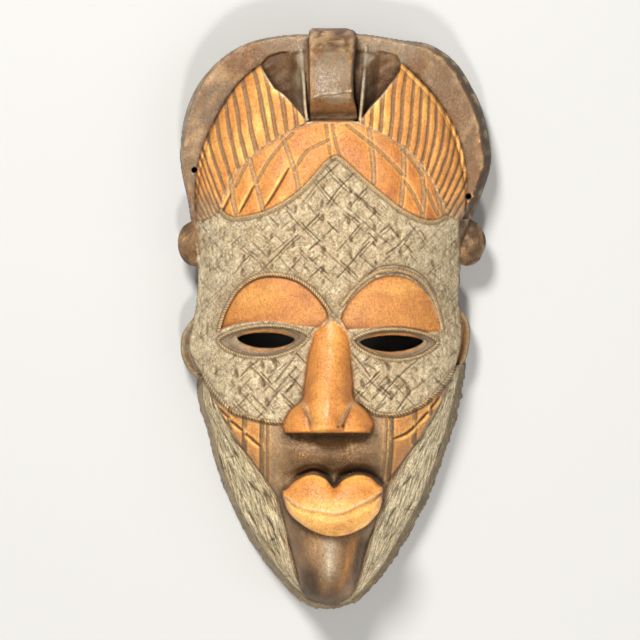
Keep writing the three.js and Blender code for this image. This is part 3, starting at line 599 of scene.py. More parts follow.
# Panels between cheek and jaw: grey bars, slanting cuts and the stained cells between them
panel_bars = [
    [(-72.8, -63), (-72.8, -76.3)],
    [(-62.6, -68.6), (-62.6, -91.7)],
    [(-50.4, -71.4), (-50.4, -108.5)],
    [(40.2, -69.3), (39.9, -91.7), (37.8, -112)],
    [(56.7, -63.7), (56, -86.1)],
    [(67.2, -56.7), (67.2, -65.8)],
]
panel_lines = [
    [(-46.6, -73.5), (-46.6, -113)],
    [(36.7, -70.7), (36, -91.7), (34, -112)],
]
panel_cuts = [
    [(-80.5, -62.3), (-73.5, -69.3)],
    [(-72.1, -71.4), (-63.7, -78.4)],
    [(-61.6, -80.5), (-51.1, -89.6)],
    [(41.3, -84), (51.1, -79.8), (58.1, -73.5)],
    [(58.1, -73.5), (65.8, -65.1)],
    [(68, -62.5), (74.2, -53.9)],
]
panel_cells = [
    [(-80.5, -59), (-50.6, -72.5), (-50.6, -110), (-63, -93), (-80.5, -66)],
    [(42, -70), (76, -50), (73, -57), (60, -82), (40, -112)],
]

hollow_left = along([
    (150, -20), (143, -44), (128, -66), (105, -80), (70, -84), (0, -84), (-45, -82),
    (-80, -74), (-110, -64), (-140, -48), (-165, -30), (-180, -14),
])
hollow_right = along([
    (150, 20), (143, 44), (128, 66), (105, 80), (70, 82), (0, 77), (-45, 75), (-80, 67),
    (-110, 56), (-140, 40), (-165, 24), (-180, 10),
])
hollow_height = along([
    (150, 14), (140, 36), (125, 52), (100, 64), (60, 75), (20, 76), (-20, 68), (-70, 66),
    (-110, 66), (-140, 64), (-160, 50), (-172, 34), (-180, 14),
])
HOLLOW_TOP_Y = 150
HOLLOW_END_Y = -180
GOUGE_WIDTH = 9
GOUGE_DEPTH = 0.7
cord_holes = [(-97.7, 104.3), (94.2, 85.8)]
CORD_HOLE = 3

# Lattice cut in the kaolin: two sets of slanting lines with nicks between them
LATTICE_PITCH = 13.5
LATTICE_SLOPE = 46
LATTICE_CENTRE = (-0.7, 7)
# Shift in line spacings, depth and strength of the main line, its twin and the one between
LATTICE_LINES = ((0, 0.6, 0.75), (0.16, 0.4, 0.5), (0.5, 0.4, 0.5))
NICK_COLUMNS = (-63.5, -45, -27.5, -7.7, 10.8, 28.7, 45.5, 67.9)
NICK_STEP = 11.5
strong_lines = [
    [(11.2, 90.3), (26.6, 76.3)], [(-63.7, 51.8), (-53.9, 39.9)], [(44.1, 45.5), (58.1, 65.1)],
    [(18.2, 49.7), (27.3, 59.5)], [(47.6, 45.5), (56.7, 55.3)], [(60.2, 51.1), (65.8, 59.5)],
    [(65.1, 30.8), (74.2, 39.2)], [(5.6, 98), (16.1, 102.9)], [(7.7, 79.8), (39.2, 51.8)],
    [(-58.8, 55.3), (-46.2, 42.7)], [(-44.8, 44.8), (-30.8, 56.7)], [(15.4, 46.9), (29.4, 34.3)],
    [(-71.4, -23.1), (-67.2, -28.7)], [(-67.2, -23.1), (-71.4, -28.7)],
]
cheek_strokes = [
    [(-41.3, -44.1), (-25.9, -24.5)], [(-43.4, -53.2), (-25.2, -32.2)],
    [(-35, -53.9), (-23.8, -39.2)], [(-44.8, -56.7), (-34.3, -46.2)],
    [(19.6, -30.1), (30.8, -36.4)], [(26.6, -42.7), (30.8, -36.4)],
    [(28.7, -51.8), (35.7, -44.8)], [(25.2, -58.1), (39.2, -42.7)],
    [(28.7, -65.1), (37.8, -56.7)], [(-35, -57), (-29, -63)], [(69, -40), (79, -49)],
]
cheek_nicks = [
    (-68.6, -37.8), (-66.5, -49.7), (-49.7, -44.8), (-46.9, -58.1), (-50.4, -31.5),
    (-41.3, -30.8), (37.8, -32.9), (37.8, -42.7), (39.9, -53.2), (20, -45.5), (52, -50),
]


def face_form():
    """Heights of the smooth face: a dome between its side edges"""
    left, right = face_left(Y), face_right(Y)
    span = np.abs(X - (left + right) / 2) / ((right - left) / 2)
    up = np.maximum(0, (Y - 40) / 148.4)
    reach = (span**2.6 + up**2.6) ** (1 / 2.6)
    dome = np.maximum(0, 1 - reach**2.3) ** 0.65
    return mix(face_side(Y), face_crown(Y), dome)


def muzzle_form(face):
    """Face below the cheeks, with a roll over the mouth and a hollow above the lips"""
    across = np.maximum(0, 1 - (np.abs(X) / 52) ** 4)
    roll = 9 * bell(Y + 92, 11)
    hollow = 5 * bell(Y + 109, 6)
    return face - LOWER_FACE_SINK + across * (roll - hollow)


def block_edge():
    """Distance inside the side edges of the face block"""
    high = Y > FACE_BLOCK_Y
    left = np.where(high, block_left(Y), face_left(Y))
    right = np.where(high, block_right(Y), face_right(Y))
    return least(X - left, right - X, Y - CHIN_END_Y, FACE_TOP_Y - Y)


class Carving:
    """Front heights over the plan, and the share of each surface at each sample"""

    def __init__(self, height, surface):
        self.height = height
        self.shares = {surface: np.ones(X.shape)}
        self.holes = np.zeros(X.shape)
        # Distance to the nearest rope, turns along it and strength of its twist
        self.twine = np.stack([np.full(X.shape, 99.0), np.zeros(X.shape), np.zeros(X.shape)])
        # Places along and across the jaw's bark, and its share
        self.bark = np.zeros((3, *X.shape))
        self.lattice = []
        self.line_shares = []

    def lay(self, surface, share):
        """Lays a surface over the earlier ones"""
        share = np.clip(share, 0, 1)
        for other in self.shares:
            self.shares[other] = self.shares[other] * (1 - share)
        self.shares[surface] = self.shares.get(surface, 0) + share

    def shape(self, height, share):
        self.height = mix(self.height, height, share)

    def raise_by(self, amount):
        self.height = self.height + amount

    def share(self, *surfaces):
        return sum(self.shares.get(name, np.zeros(X.shape)) for name in surfaces)


def groove(wood, path, width, depth, dark=0.85):
    """V groove along a path, fading out at its ends"""
    points = curve(path)
    gap, place, _ = near(points, width)
    ends = mix(0.25, 1, ease(np.minimum(place, length_of(points) - place), 0, 4))
    cut = np.maximum(0, 1 - gap / (width / 2)) * ends
    wood.raise_by(-depth * cut)
    wood.lay("crease", dark * ease(cut, 0.05, 0.6))


def wedge(wood, path, width, depth):
    """Deep cut, widest half way along, darkened with painted shade, with a raised lip on its left
    that carries a painted highlight
    """
    points = curve(path)
    gap, place, offset = near(points, width + 3)
    middle = np.sqrt(np.maximum(0, 1 - (2 * place / length_of(points) - 1) ** 2))
    half = 0.2 + width / 2 * middle
    cut = np.maximum(0, 1 - gap / half)
    wood.raise_by(-depth * cut**0.7)
    wood.raise_by(0.4 * middle * bell(offset + half + 0.9, 0.8))
    # Painted shade in the cut, and a painted highlight on the lip to its left
    wood.lay("crease", 0.85 * ease(cut, 0.02, 0.5))
    wood.lay("gold", 0.95 * middle * bell(offset + half + 0.8, 0.9))


def moulding(wood, path, width=3.0, rise=0.4, surface="seam"):
    """Low strap between two thin grooves, with a painted highlight just outside them"""
    gap = gap_to(path, width + 3)
    lines = bell(gap - width / 2, 0.45)
    wood.raise_by(rise * ramp(width / 2 - gap) - 0.7 * lines)
    wood.lay(surface, 0.8 * ramp(width / 2 - gap))
    wood.lay("crease", 0.6 * lines)
    # Gold line just outside the grooves: painted highlight
    wood.lay("gold", 0.4 * bell(gap - width / 2 - 0.9, 0.5))


def rope(wood, path, width=2.6, rise=1.1, pitch=2.2, ready=False, twisted=1.0):
    """Twisted rope moulding along a path"""
    gap, place, offset = near(path if ready else curve(path), width + 4)
    share = np.sqrt(np.maximum(0, 1 - (gap / (width / 2)) ** 2))
    turn = (place + 0.7 * offset) / pitch
    twist = 0.5 + 0.5 * np.cos(2 * np.pi * turn)
    closer = gap < np.minimum(wood.twine[0], width + 3.9)
    shown = twisted * ease(width / 2 - gap, -0.5, 0.5)
    wood.twine = np.where(closer, (gap, turn, shown), wood.twine)
    margin = bell(gap - width / 2 - 0.4, 0.7)
    wood.raise_by(rise * share * (0.5 + 0.5 * twist) - 0.5 * margin)
    wood.lay("crease", 0.75 * margin)
    wood.lay("rope", ramp(share - 0.4, 0.4))
    wood.lay("crease", 0.5 * twisted * share * (1 - twist) ** 2)


def carve_block(face):
    """Cheek and forehead plate over the sunk lower face, and the flange round the head, with a
    painted highlight along the flange's edge and painted shade on its right side
    """
    wood = Carving(muzzle_form(face), "muzzle")
    plate = ramp(within(np.vstack([
        [(-130, 250), (-130, -36)], curve(left_cheek_edge, 40), curve(right_cheek_edge, 40),
        [(130, -34), (130, 250)],
    ])))
    wood.shape(face, plate)
    wood.lay("kaolin", plate)
    head = np.vstack([
        [(-130, -250), (-130, 66)], curve(lobes[0]["outer"], 40), [(-23.8, 186.2), (23.8, 187.6)],
        curve(lobes[1]["outer"], 40)[::-1], [(130, 66), (130, -250)],
    ])
    block = ramp(np.minimum(block_edge(), within(head)))
    inward = within(crest_outline, 9)
    right_side = ease(X, 35, 95) * ease(Y, 40, 80)
    inset = 1.2 + 4.6 * right_side + 1.2 * ease(-X, 70, 95) * ease(Y, 110, 130)
    chip = spots(2.6, 11, 0.45, 0.8) * bell(inward - inset, 1.3) * ease(Y, 60, 80)
    flange = mix(FLANGE_BEVEL_Z, FLANGE_FRONT_Z, np.clip(inward / inset, 0, 1)) - 1.0 * chip
    flange = flange + 0.35 * speckle(7, 14, 1.5, 40) + 0.12 * speckle(2.2, 15, 2, 60)
    flange = mix(OUTSIDE_Z, flange, ramp(inward))
    outside = 1 - block
    wood.height = mix(flange, np.maximum(wood.height, flange), block)
    wood.lay("slate", outside + block * (flange > face + 0.5))
    rubbed = speckle(13, 12, 1.8, 60) + 0.8 * speckle(4.5, 13, 2.5, 60)
    wood.lay("umber_and_shade", 0.9 * outside * ease(rubbed, -0.3, 0.7))
    wood.lay("knot", 0.4 * outside * spots(9, 17, 0.1, 0.7, 2, 30))
    wood.lay("knot", 0.6 * outside * ease(Y, 176, 190) * ease(X, -60, -40))
    # Right side of the flange darker: painted shade, in the umber tone
    wood.lay("umber_and_shade", 0.5 * outside * right_side)
    brown = bell(from_point(-74, 168, 22, 12), 1)
    brown = brown + bell(from_point(-98, 125, 7, 20), 1)
    wood.lay("seam", 0.7 * outside * ease(brown + 0.6 * speckle(3.5, 16, 2, 40), 0.35, 1.1))
    wood.lay("seam", 0.5 * outside * spots(5, 19, 0.35, 0.8, 2.5, 60))
    wood.lay("shade", outside * mix(0.4, 0.97, right_side) * ease(inset - inward, -0.6, 0.6))
    # Lighter line along the flange's outer edge and, on the right, where the bevel meets the front:
    # painted highlight, partly wear
    edge_wear_and_highlight = bell(inward - 0.9, 0.6) + right_side * bell(inward - inset, 0.8)
    wood.lay("rope", 0.75 * outside * edge_wear_and_highlight * spots(4, 18, -0.2, 0.5, 2, 60))
    wood.lay("gold", 0.7 * outside * chip * mix(0.2, 1, right_side))
    return wood


def carve_lobes(wood, face):
    """Fluted hair on both sides of the topknot"""
    for lobe in lobes:
        outline = np.vstack([curve(lobe[part]) for part in ("outer", "recess", "inner")])
        share = ramp(within(outline))
        down = LOBE_MIDDLE_Y - Y
        across = lobe["hand"] * X - lobe["lean"] * down - lobe["bow"] * down * np.abs(down)
        across = across + 0.6 * speckle(10, 21, 2.5) + 0.3 * speckle(4, 22, 3)
        turns = along([(at, k + 0.5) for k, at in enumerate(lobe["grooves"])])
        pitch = 1 / np.maximum(turns(across + 0.5) - turns(across - 0.5), 0.05)
        from_groove = np.abs(turns(across) % 1 - 0.5) * pitch
        half = FLUTE_GROOVE * pitch / 2
        ridge = ease(from_groove, half - 0.5, half + 0.4)
        crown = np.sqrt(np.clip((from_groove - half) / (pitch / 2 - half), 0, 1))
        height = face + LOBE_RISE - FLUTE_DEPTH * (1 - ridge) + 0.5 * crown
        wood.shape(height, share)
        wood.lay("orange", share)
        wear_and_glint = spots(8, 23, -0.1, 0.8, 3)
        wood.lay("russet", 0.5 * share * spots(5, 26, 0, 0.7, 4))
        # Gold on the flute ridges: wear, partly painted highlight
        wood.lay("gold", 0.9 * share * ridge * wear_and_glint * spots(1.8, 27, -1.0, 0.2, 3))
        wood.lay("gold", 0.2 * share * ridge)
        wood.lay("seam", 0.8 * share * (1 - ridge))
        wood.lay("muzzle", 0.3 * share * (1 - ridge))
        wood.lay("clay_shade_and_sheen", 0.25 * share * (1 - ridge) * spots(2, 29, -0.4, 0.6, 2))
        wood.lay("crease", 0.55 * share * bell(from_groove - half + 0.2, 0.4))
        wood.lay("muzzle", 0.7 * share * ease(speckle(4, 28, 2) * 6 - Y, -88, -74))
        edge = gap_to(lobe["outer"], 5)
        wood.raise_by(-1.4 * share * bell(edge, 1.0))
        wood.lay("crease", 0.9 * bell(edge, 0.9) * ease(Y, 60, 75))
        # Pale line along each lobe's edge by the recess: painted highlight
        lit = gap_to(lobe["recess"], 3)
        wood.lay("chalk_and_highlight", 0.85 * bell(lit, 0.7) * spots(7, 24, -0.7, -0.2))
    strip = gap_to(right_lobe_strip, 4)
    wood.raise_by(0.9 * ramp(1.3 - strip))
    wood.lay("gold", 0.8 * ramp(1.3 - strip))
    wood.lay("crease", 0.6 * bell(strip - 1.7, 0.4))


def carve_band(wood, face):
    """Hair band of domed leaves between straps and cuts"""
    outline = np.vstack([
        curve(band_top), curve(band_bottom_right)[::-1], curve(band_bottom_left)[::-1],
    ])
    band = ramp(within(outline))
    edge = np.minimum(within(outline, 7), 7)
    for path in band_straps + band_lines + band_wedges:
        edge = np.minimum(edge, gap_to(path, 7))
    dome = np.sqrt(np.clip(edge / 7, 0, 1))
    wood.shape(face + BAND_RISE - 0.6 + 1.6 * dome, band)
    wood.lay("orange", band)
    wood.lay("russet", 0.85 * band * spots(8, 32, -0.8, 0.7, 1.5, 60) * ease(X, -70, 40))
    wood.lay("gold", 0.6 * band * spots(9, 31, 0, 0.9, 1.5, 60) * ease(-X, -60, 40))
    for path in band_wedges:
        wedge(wood, path, 2.1, 1.8)
    for path in band_straps:
        moulding(wood, path, 2.8, 0.1)
    for path in band_lines:
        moulding(wood, path, 1.6, 0.1)
    top = gap_to(band_top, 4)
    wood.raise_by(0.4 * bell(top - 0.9, 0.8) - 0.5 * bell(top + 0.2, 0.7))
    # Pale line along the band's top edge: painted highlight
    wood.lay("chalk_and_highlight", 0.35 * bell(top, 0.9))
    wood.lay("crease", 0.35 * bell(top - 1.2, 0.5))
    for path in (band_bottom_left, band_bottom_right):
        rope(wood, path, 2.6, 0.7, 1.9, twisted=0.3)


def carve_crown(wood, face):
    """Sunk corners and fins beside the topknot, and the topknot"""
    for outline, fin in zip(recesses, fins):
        share = ramp(within(outline))
        gap = gap_to(fin, 14)
        toward_knot = ease(20.5 - np.abs(X + 0.5), 0, 1)
        rise = mix(16 * ease(11 - gap, 0, 11), VALLEY_RISE, toward_knot)
        floor = CROWN_GAP_Z + rise + 1.1 * speckle(4, 41, 2.5, 30) * (1 - toward_knot)
        wood.shape(np.minimum(wood.height, floor), share)
        wood.lay("shade", share)
        brown = bell(np.hypot((np.abs(X) - 37) / 10, (Y - 173) / 13), 1)
        wood.lay("seam", 0.6 * share * ease(brown + 0.7 * speckle(3, 42, 2, 30), 0.4, 1.3))
        wood.lay("umber_and_shade", 0.5 * share * (1 - toward_knot))
        # Lighter grey on the slopes up to the fins: grey wood, partly painted light against the shade
        # of the pit
        slope = share * ease(12 - gap, 0, 11) * (1 - toward_knot)
        wood.lay("ash_and_highlight", 0.6 * slope * ease(speckle(4, 48, 2) + bell(Y - 152, 20), -0.6, 0.9))
        wood.lay("clay_shade_and_sheen", 0.9 * share * toward_knot * ease(np.abs(X + 0.5), 15, 17.5))
        fin_share = ramp(FIN_WIDTH / 2 - gap) * (Y > KNOT_END_Y)
        wood.shape(np.maximum(FLANGE_FRONT_Z, face) + 1.5, fin_share)
        # Pale line along each fin's crest: painted highlight
        wood.lay("ash_and_highlight", 0.55 * bell(gap, 2.4) * (Y > KNOT_END_Y) * spots(4, 49, -1.1, 0.2))
    left, right = knot_left(Y), knot_right(Y)
    share = ramp(least(X - left, right - X, KNOT_TOP_Y - Y, Y - KNOT_END_Y))
    across = 2 * (X - left) / (right - left) - 1
    wear_and_glint = 1.4 * spots(5, 43, 0.3, 1) * ease(Y, 188, 200)
    height = knot_height(Y) - 3.4 * np.minimum(1, np.abs(across)) ** 3.5 - wear_and_glint
    wood.shape(height, share)
    wood.lay("knot", share)
    blotch = speckle(6, 44, 1.6) + 0.7 * speckle(2.5, 45)
    sides, crown = ease(np.abs(across), 0.5, 1), ease(Y, 180, 194)
    wood.lay("umber_and_shade", share * ease(blotch + 1.2 * sides + 1.6 * crown, 0.2, 1.3))
    wood.lay("shade", 0.8 * share * ease(speckle(2.2, 52, 3, 20) + 1.2 * crown, 0.6, 1.4))
    wood.lay("seam", 0.9 * share * ease(speckle(1.6, 48, 2.5, 50) + crown, 0.7, 1.4))
    worn_edge = bell(across + 0.93, 0.09) + bell(across - 0.8, 0.09)
    wood.lay("seam", 0.8 * share * worn_edge * spots(3, 46, -0.6, 0.3, 2))
    wood.lay("shade", 0.9 * share * bell(across - 1, 0.1))
    gap, _, offset = near(curve(knot_step), 4)
    wood.raise_by(-0.9 * share * bell(gap, 0.8))
    wood.lay("crease", 0.7 * share * bell(gap, 0.7))
    # Pale line with glints below the step: painted highlight
    wood.lay("chalk_and_highlight", 0.7 * share * bell(offset - 1.0, 0.6) * spots(3, 47, -0.2, 0.3))
    # End face of the knot, facing the chin: painted shade over dark brown wood with streaks
    wood.lay("umber_and_shade", share * ease(152 - Y, 0, 4))
    wood.lay("russet", 0.25 * share * ease(152 - Y, 0, 4))
    wood.lay("shade", 0.75 * share * ease(148 - Y + speckle(5, 50), 0, 4))
    wood.lay("seam", 0.4 * share * ease(149 - Y, 0, 3) * spots(1.6, 55, 0.1, 0.6, 3, 20))
    wood.lay("seam", 0.5 * bell(Y - KNOT_END_Y + 1.2, 0.8) * (np.abs(X + 0.5) < 16))


def carve_lids(wood, face):
    """Half-moon lids sunk inside rope arcs"""
    for lid in lids:
        outline = np.vstack([curve(lid["arc"], 60), curve(lid["base"], 20)])
        away = from_point(lid["middle"], 10, 40, 24)
        floor = face - LID_SINK - LID_DOME * np.minimum(1, away**2) + LID_DOME / 2
        inside = within(outline, 3)
        wood.shape(floor, ramp(inside, 1.6))
        wood.lay("orange", ramp(inside))
        wood.lay("gold", 0.35 * ramp(inside) * spots(14, 51, 0, 0.9, 1.8, 10))
        wood.lay("russet", 0.6 * ramp(inside) * spots(9, 52, -0.1, 0.9, 2, 10))
        wood.lay("seam", 0.14 * ramp(inside))
        # Darker band just outside each rope: painted shade
        wood.lay("ochre_and_shade", 0.5 * bell(gap_to(lid["rope"], 10) - 4, 2.2) * (inside < 0))
        rope(wood, lid["rope"], 2.1, 0.9, 2.0, twisted=lid["twisted"])
        wood.lay("orange", 0.15 * ramp(1.0 - gap_to(lid["rope"], 3)))
    for path in right_lid_lines:
        groove(wood, path, 1.6, 0.7)


def carve_cheek_edges(wood):
    """Rope mouldings along the lower edges of the cheeks"""
    for path in (left_cheek_edge, right_cheek_edge):
        rope(wood, path, 2.5, 1.1, 2.2)


def carve_panels(wood):
    """Stained cells between grey bars and slanting cuts, beside the mouth"""
    lower = wood.share("muzzle")
    wood.lay("clay_shade_and_sheen", lower * ease(np.abs(X + 4), 24, 40) * ease(Y + 130, 0, 20))
    for outline in panel_cells:
        wood.lay("orange", 0.75 * lower * ramp(within(outline)))
        wood.raise_by(0.5 * lower * ramp(within(outline)))
    for path in panel_bars:
        moulding(wood, path, 3.0, 0.8, "slate")
        wood.lay("crease", 0.35 * ramp(1.5 - gap_to(path, 3)))
    for path in panel_lines:
        moulding(wood, path, 1.5, 0.5, "ochre_and_shade")
    for path in panel_cuts:
        offset = near(curve(path), 4)[2]
        wedge(wood, path, 2.3, 2.2)
        # Gold line beside each cut: painted highlight on its lit edge
        wood.lay("gold", 0.6 * bell(offset - 2.0, 0.6) * (Y < -55))


def carve_jaws(wood):
    """Bark-like bands along the jaw, from the cheeks round the chin"""
    for jaw in jaws:
        deep = [(x * 0.86, y * 0.985) for x, y in jaw["inner"]]
        lines = [deep, jaw["inner"], jaw["edge"], jaw["rim"]]
        place, across, on = ruled(lines, [-1, 0, 1, 2])
        inner_z = jaw_inner_z(place)
        front = mix(inner_z, JAW_EDGE_Z, np.clip(across, 0, 1)) - np.clip(-across, 0, 1)
        front = front + 3 * np.sin(np.clip(across, 0, 1) * np.pi)
        wall = mix(JAW_EDGE_Z, 1, np.clip(across - 1, 0, 1))
        run, width = place * JAW_LENGTH, across * JAW_WIDTH
        strands = value_noise(run / 15, (width + 0.04 * run) / 1.4, 61)
        slanting = value_noise(run / 8 + 40, (width + 0.25 * run) / 1.8 + 90, 62)
        strands = strands + 0.7 * slanting
        gaps = ease(strands, 0.15, 1.0)
        lit = ease(-strands, 0.1, 0.9)
        cracks = ease(strands + 0.7 * value_noise(run / 12, width / 5, 68), 0.75, 1.2)
        crosses = ease(value_noise(run / 1.1 + 7, width / 5, 69) + 0.8 * speckle(9, 70), 1.0, 1.4)
        outline = np.vstack([curve(deep, 60), curve(jaw["rim"], 60)[::-1]])
        inside = within(outline, 4)
        ragged = (1.0 * speckle(2.4, 63) + 0.6 * speckle(1.2, 66)) * (across > 1)
        share = ramp(np.minimum(inside, 4) + ragged - 0.3 * (across > 1))
        relief = jaw["relief"] * (0.4 * lit - 0.7 * gaps) - 0.7 * cracks - 0.5 * crosses
        jaw_z = np.where(across > 1, wall, front + relief)
        jaw_z = np.where(on, jaw_z, OUTSIDE_Z)
        shown = share * (jaw_z > wood.height - 0.3) * (across > -0.06)
        risen = np.maximum(wood.height, mix(OUTSIDE_Z, jaw_z, share))
        wood.height = np.where(share > 0, risen, wood.height)
        face_share, wall_share = shown * (across <= 1), shown * (across > 1)
        wood.lay("bark", shown)
        wood.lay("chalk_and_highlight", face_share * (0.45 * jaw["relief"] * lit + 0.42 * (X > 0)))
        wood.lay("ochre_and_shade", 0.55 * jaw["relief"] * face_share * gaps)
        wood.lay("crease", 0.75 * face_share * np.maximum(cracks, crosses))
        wood.bark = np.where(shown > 0.5, (run, width, shown), wood.bark)
        wood.lay("crease", 0.8 * shown * bell(across, 0.045))
        wood.lay("seam", 0.6 * shown * bell(across - 0.09, 0.05))
        wood.lay("rim", wall_share * jaw["grey_wall"])
        wood.lay("ochre_and_shade", 0.7 * wall_share * spots(1.6, 67, 0, 0.6))
        wood.lay("fibre", 0.8 * shown * bell(across - 1.5, 0.4) * spots(1.8, 64, 0.4, 0.8))
        wood.lay("crease", 0.6 * shown * bell(across - 1.02, 0.07))


def nose_form(face):
    """Heights of the nose, and the distance inside its edges"""
    left, right = nose_left(Y), nose_right(Y)
    half = np.where(X < NOSE_AXIS_X, NOSE_AXIS_X - left, right - NOSE_AXIS_X)
    half = np.maximum(half, 1)
    span = np.minimum(1, np.abs(X - NOSE_AXIS_X) / half)
    root = face - 4
    bridge = mix(root, nose_ridge(Y), (1 - span**2.2) ** 0.58)
    stem = np.abs(X - NOSE_AXIS_X) / (12 + 0.42 * np.clip(Y + 73, 0, 16))
    stem_z = mix(WING_Z - 1.5, nose_ridge(Y), np.maximum(0, 1 - stem**2.2) ** 0.75)
    wing_z = mix(root, WING_Z, np.maximum(0, 1 - span**4) ** 0.6)
    tip = np.maximum(np.where(stem < 1, stem_z, 0), wing_z)
    keel = 0.5 * np.exp(-np.abs(X - NOSE_AXIS_X) / 2.5)
    edge = least(X - left, right - X, NOSE_TOP_Y - Y, Y - NOSE_END_Y)
    return mix(bridge, tip, ease(-Y, 57, 66)) + keel, edge


def carve_nose(wood, face):
    """Nose with its wings, creases and pits, a painted highlight down its ridge and painted shade
    beside it
    """
    form, edge = nose_form(face)
    share = ramp(edge)
    wood.shape(np.maximum(wood.height, form), share)
    wood.lay("orange", share)
    side = ease(np.abs(X - NOSE_AXIS_X), 5, 14)
    wood.lay("russet", 0.45 * share * side * spots(9, 71, -0.4, 0.7, 2))
    wood.lay("gold", 0.5 * share * (1 - side) * spots(10, 72, -0.5, 0.8, 2.5))
    # Pale line down the ridge of the nose: painted highlight
    ridge = near(np.array(nose_highlight), 4)[0]
    wood.lay("chalk_and_highlight", 0.55 * bell(ridge, 0.9) * spots(3, 73, -0.7, 0.2, 3))
    for path in wing_creases:
        groove(wood, path, 1.6, 0.4, 0.2)
        wood.lay("chalk_and_highlight", 0.35 * bell(gap_to(path, 3) - 0.8, 0.6))
    for x, y in nose_pits:
        pit = ramp(1.2 - from_point(x, y))
        wood.raise_by(-0.8 * pit)
        wood.lay("shade", 0.8 * pit)
    # Darker band just outside the nose's edges: painted shade
    beside = bell(edge + 1.2, 1.1) * (edge < 0)
    wood.lay("clay_shade_and_sheen", 0.55 * beside * (Y > NOSE_END_Y))


def lip_form():
    """Heights of the lips, the distance inside their edges and where they part"""
    top, part, bottom = lip_top(X), lip_part(X), lip_bottom(X)
    upper = LIP_PARTING * (top - Y) / (top - part)
    lower = LIP_PARTING + (1 - LIP_PARTING) * (part - Y) / (part - bottom)
    t = np.clip(np.where(Y > part, upper, lower), 0, 1)
    away = np.minimum(1.2, np.abs(X) / 36)
    height = LIP_CENTER_Z - LIP_CORNER_DROP * away**2.2 + lip_profile(t)
    edge = least(top - Y, Y - bottom, X - LIP_LEFT_X, LIP_RIGHT_X - X)
    return height, edge, part


def carve_mouth(wood):
    """Lips under a dark groove, with the rubbed muzzle and chin about them; painted sheen and
    highlight on the chin, painted highlights above and along the lips and painted shade under the
    upper lip
    """
    lower = wood.share("muzzle", "clay_shade_and_sheen")
    middle = bell(X - 2, 26)
    wood.lay("umber_and_shade", 0.8 * lower * middle * bell(Y + 91, 12) * spots(4, 81, -0.8, 0.6))
    wood.lay("shade", 0.75 * lower * bell(Y + 82, 4.5) * (np.abs(X + 3) < 34))
    wood.lay("shade", 0.6 * lower * middle * bell(Y + 103, 6))
    wood.lay("slate", 0.6 * lower * bell(X - 27, 9) * bell(Y + 97, 16))
    chin = lower * ease(-Y, 150, 158)
    wood.lay("umber_and_shade", 0.6 * chin)
    # Lighter middle of the chin: painted sheen
    wood.lay("clay_shade_and_sheen", 0.8 * chin * bell(X + 3, 8) * ease(Y, -190, -165))
    fleck = ease(speckle(1.2, 82) + 0.8 * speckle(4, 85), 0, 0.7)
    wood.lay("seam", 0.9 * chin * bell(X + 16, 11) * bell(Y + 162, 16) * mix(0.45, 1, fleck))
    wood.lay("shade", 0.8 * chin * ease(from_point(-17, -186, 9, 15), 1.3, 0.4))
    wood.lay("shade", 0.9 * chin * np.maximum(ease(X, 11, 17), 0.25 * ease(-X, 19, 26)))
    wood.lay("shade", 0.8 * chin * ease(Y, -188, -198))
    stripe = gap_to(chin_stripe, 8)
    wood.lay("orange", 0.75 * chin * bell(stripe, 2.6) * spots(3, 83, -0.7, 0.4, 2))
    # Grey and pale streak down the chin's middle: painted highlight
    wood.lay("ash_and_highlight", 0.6 * chin * bell(X + 3, 4.5) * ease(Y, -190, -172))
    wood.lay("chalk_and_highlight", 0.5 * chin * bell(X + 3.5, 1.4) * bell(Y + 172, 8))
    form, edge, part = lip_form()
    share = ramp(edge)
    gap = gap_to(above_lips, 6)
    wood.raise_by(-3.5 * bell(gap, 2.0) * (1 - share) * ease(X, -36, -24))
    wood.lay("shade", bell(gap, 2.2) * ease(X, -30, -16))
    # Pale line on the edge above the dark groove: painted highlight
    wood.lay("seam", 0.8 * bell(gap - 2.2, 0.8) * ease(-X, 2, 14))
    wood.shape(np.maximum(wood.height, form), share)
    wood.lay("orange", share)
    wood.lay("gold", 0.75 * share * spots(12, 84, -0.5, 0.6, 1.6, 0))
    # Darker strip under the parting: painted shade under the upper lip's edge, in a russet tone
    wood.lay("russet", 0.7 * share * bell(Y - part + 2.2, 1.8) * ease(X, -6, 16))
    corner = ease(np.abs(X), 22, 34)
    wood.lay("clay_shade_and_sheen", 0.8 * share * bell(Y - part + 1.8, 2.6) * corner)
    wood.lay("crease", 0.9 * share * bell(Y - part + 1.5, 1.6) * ease(X, 27, 33))
    wood.lay("gold", 0.6 * share * (1 - corner) * ease(part - Y, -1, 3))
    # Pale line along the upper lip's edge at the parting: painted highlight
    wood.lay("chalk_and_highlight", 0.45 * share * bell(Y - part - 0.4, 0.9) * (1 - corner))


def lens_outline(left, right, tilt, rise, drop, y, steps=28):
    """Closed outline of a lens, tilted, with its own rise and drop"""
    angle = np.pi * np.arange(2 * steps) / steps
    across = (1 - np.cos(angle)) / 2
    bulge = np.abs(np.sin(angle)) ** 1.4
    lift = np.where(np.arange(2 * steps) < steps, rise, -drop)
    return np.stack([mix(left, right, across), y + tilt * (across - 0.5) + lift * bulge], 1)


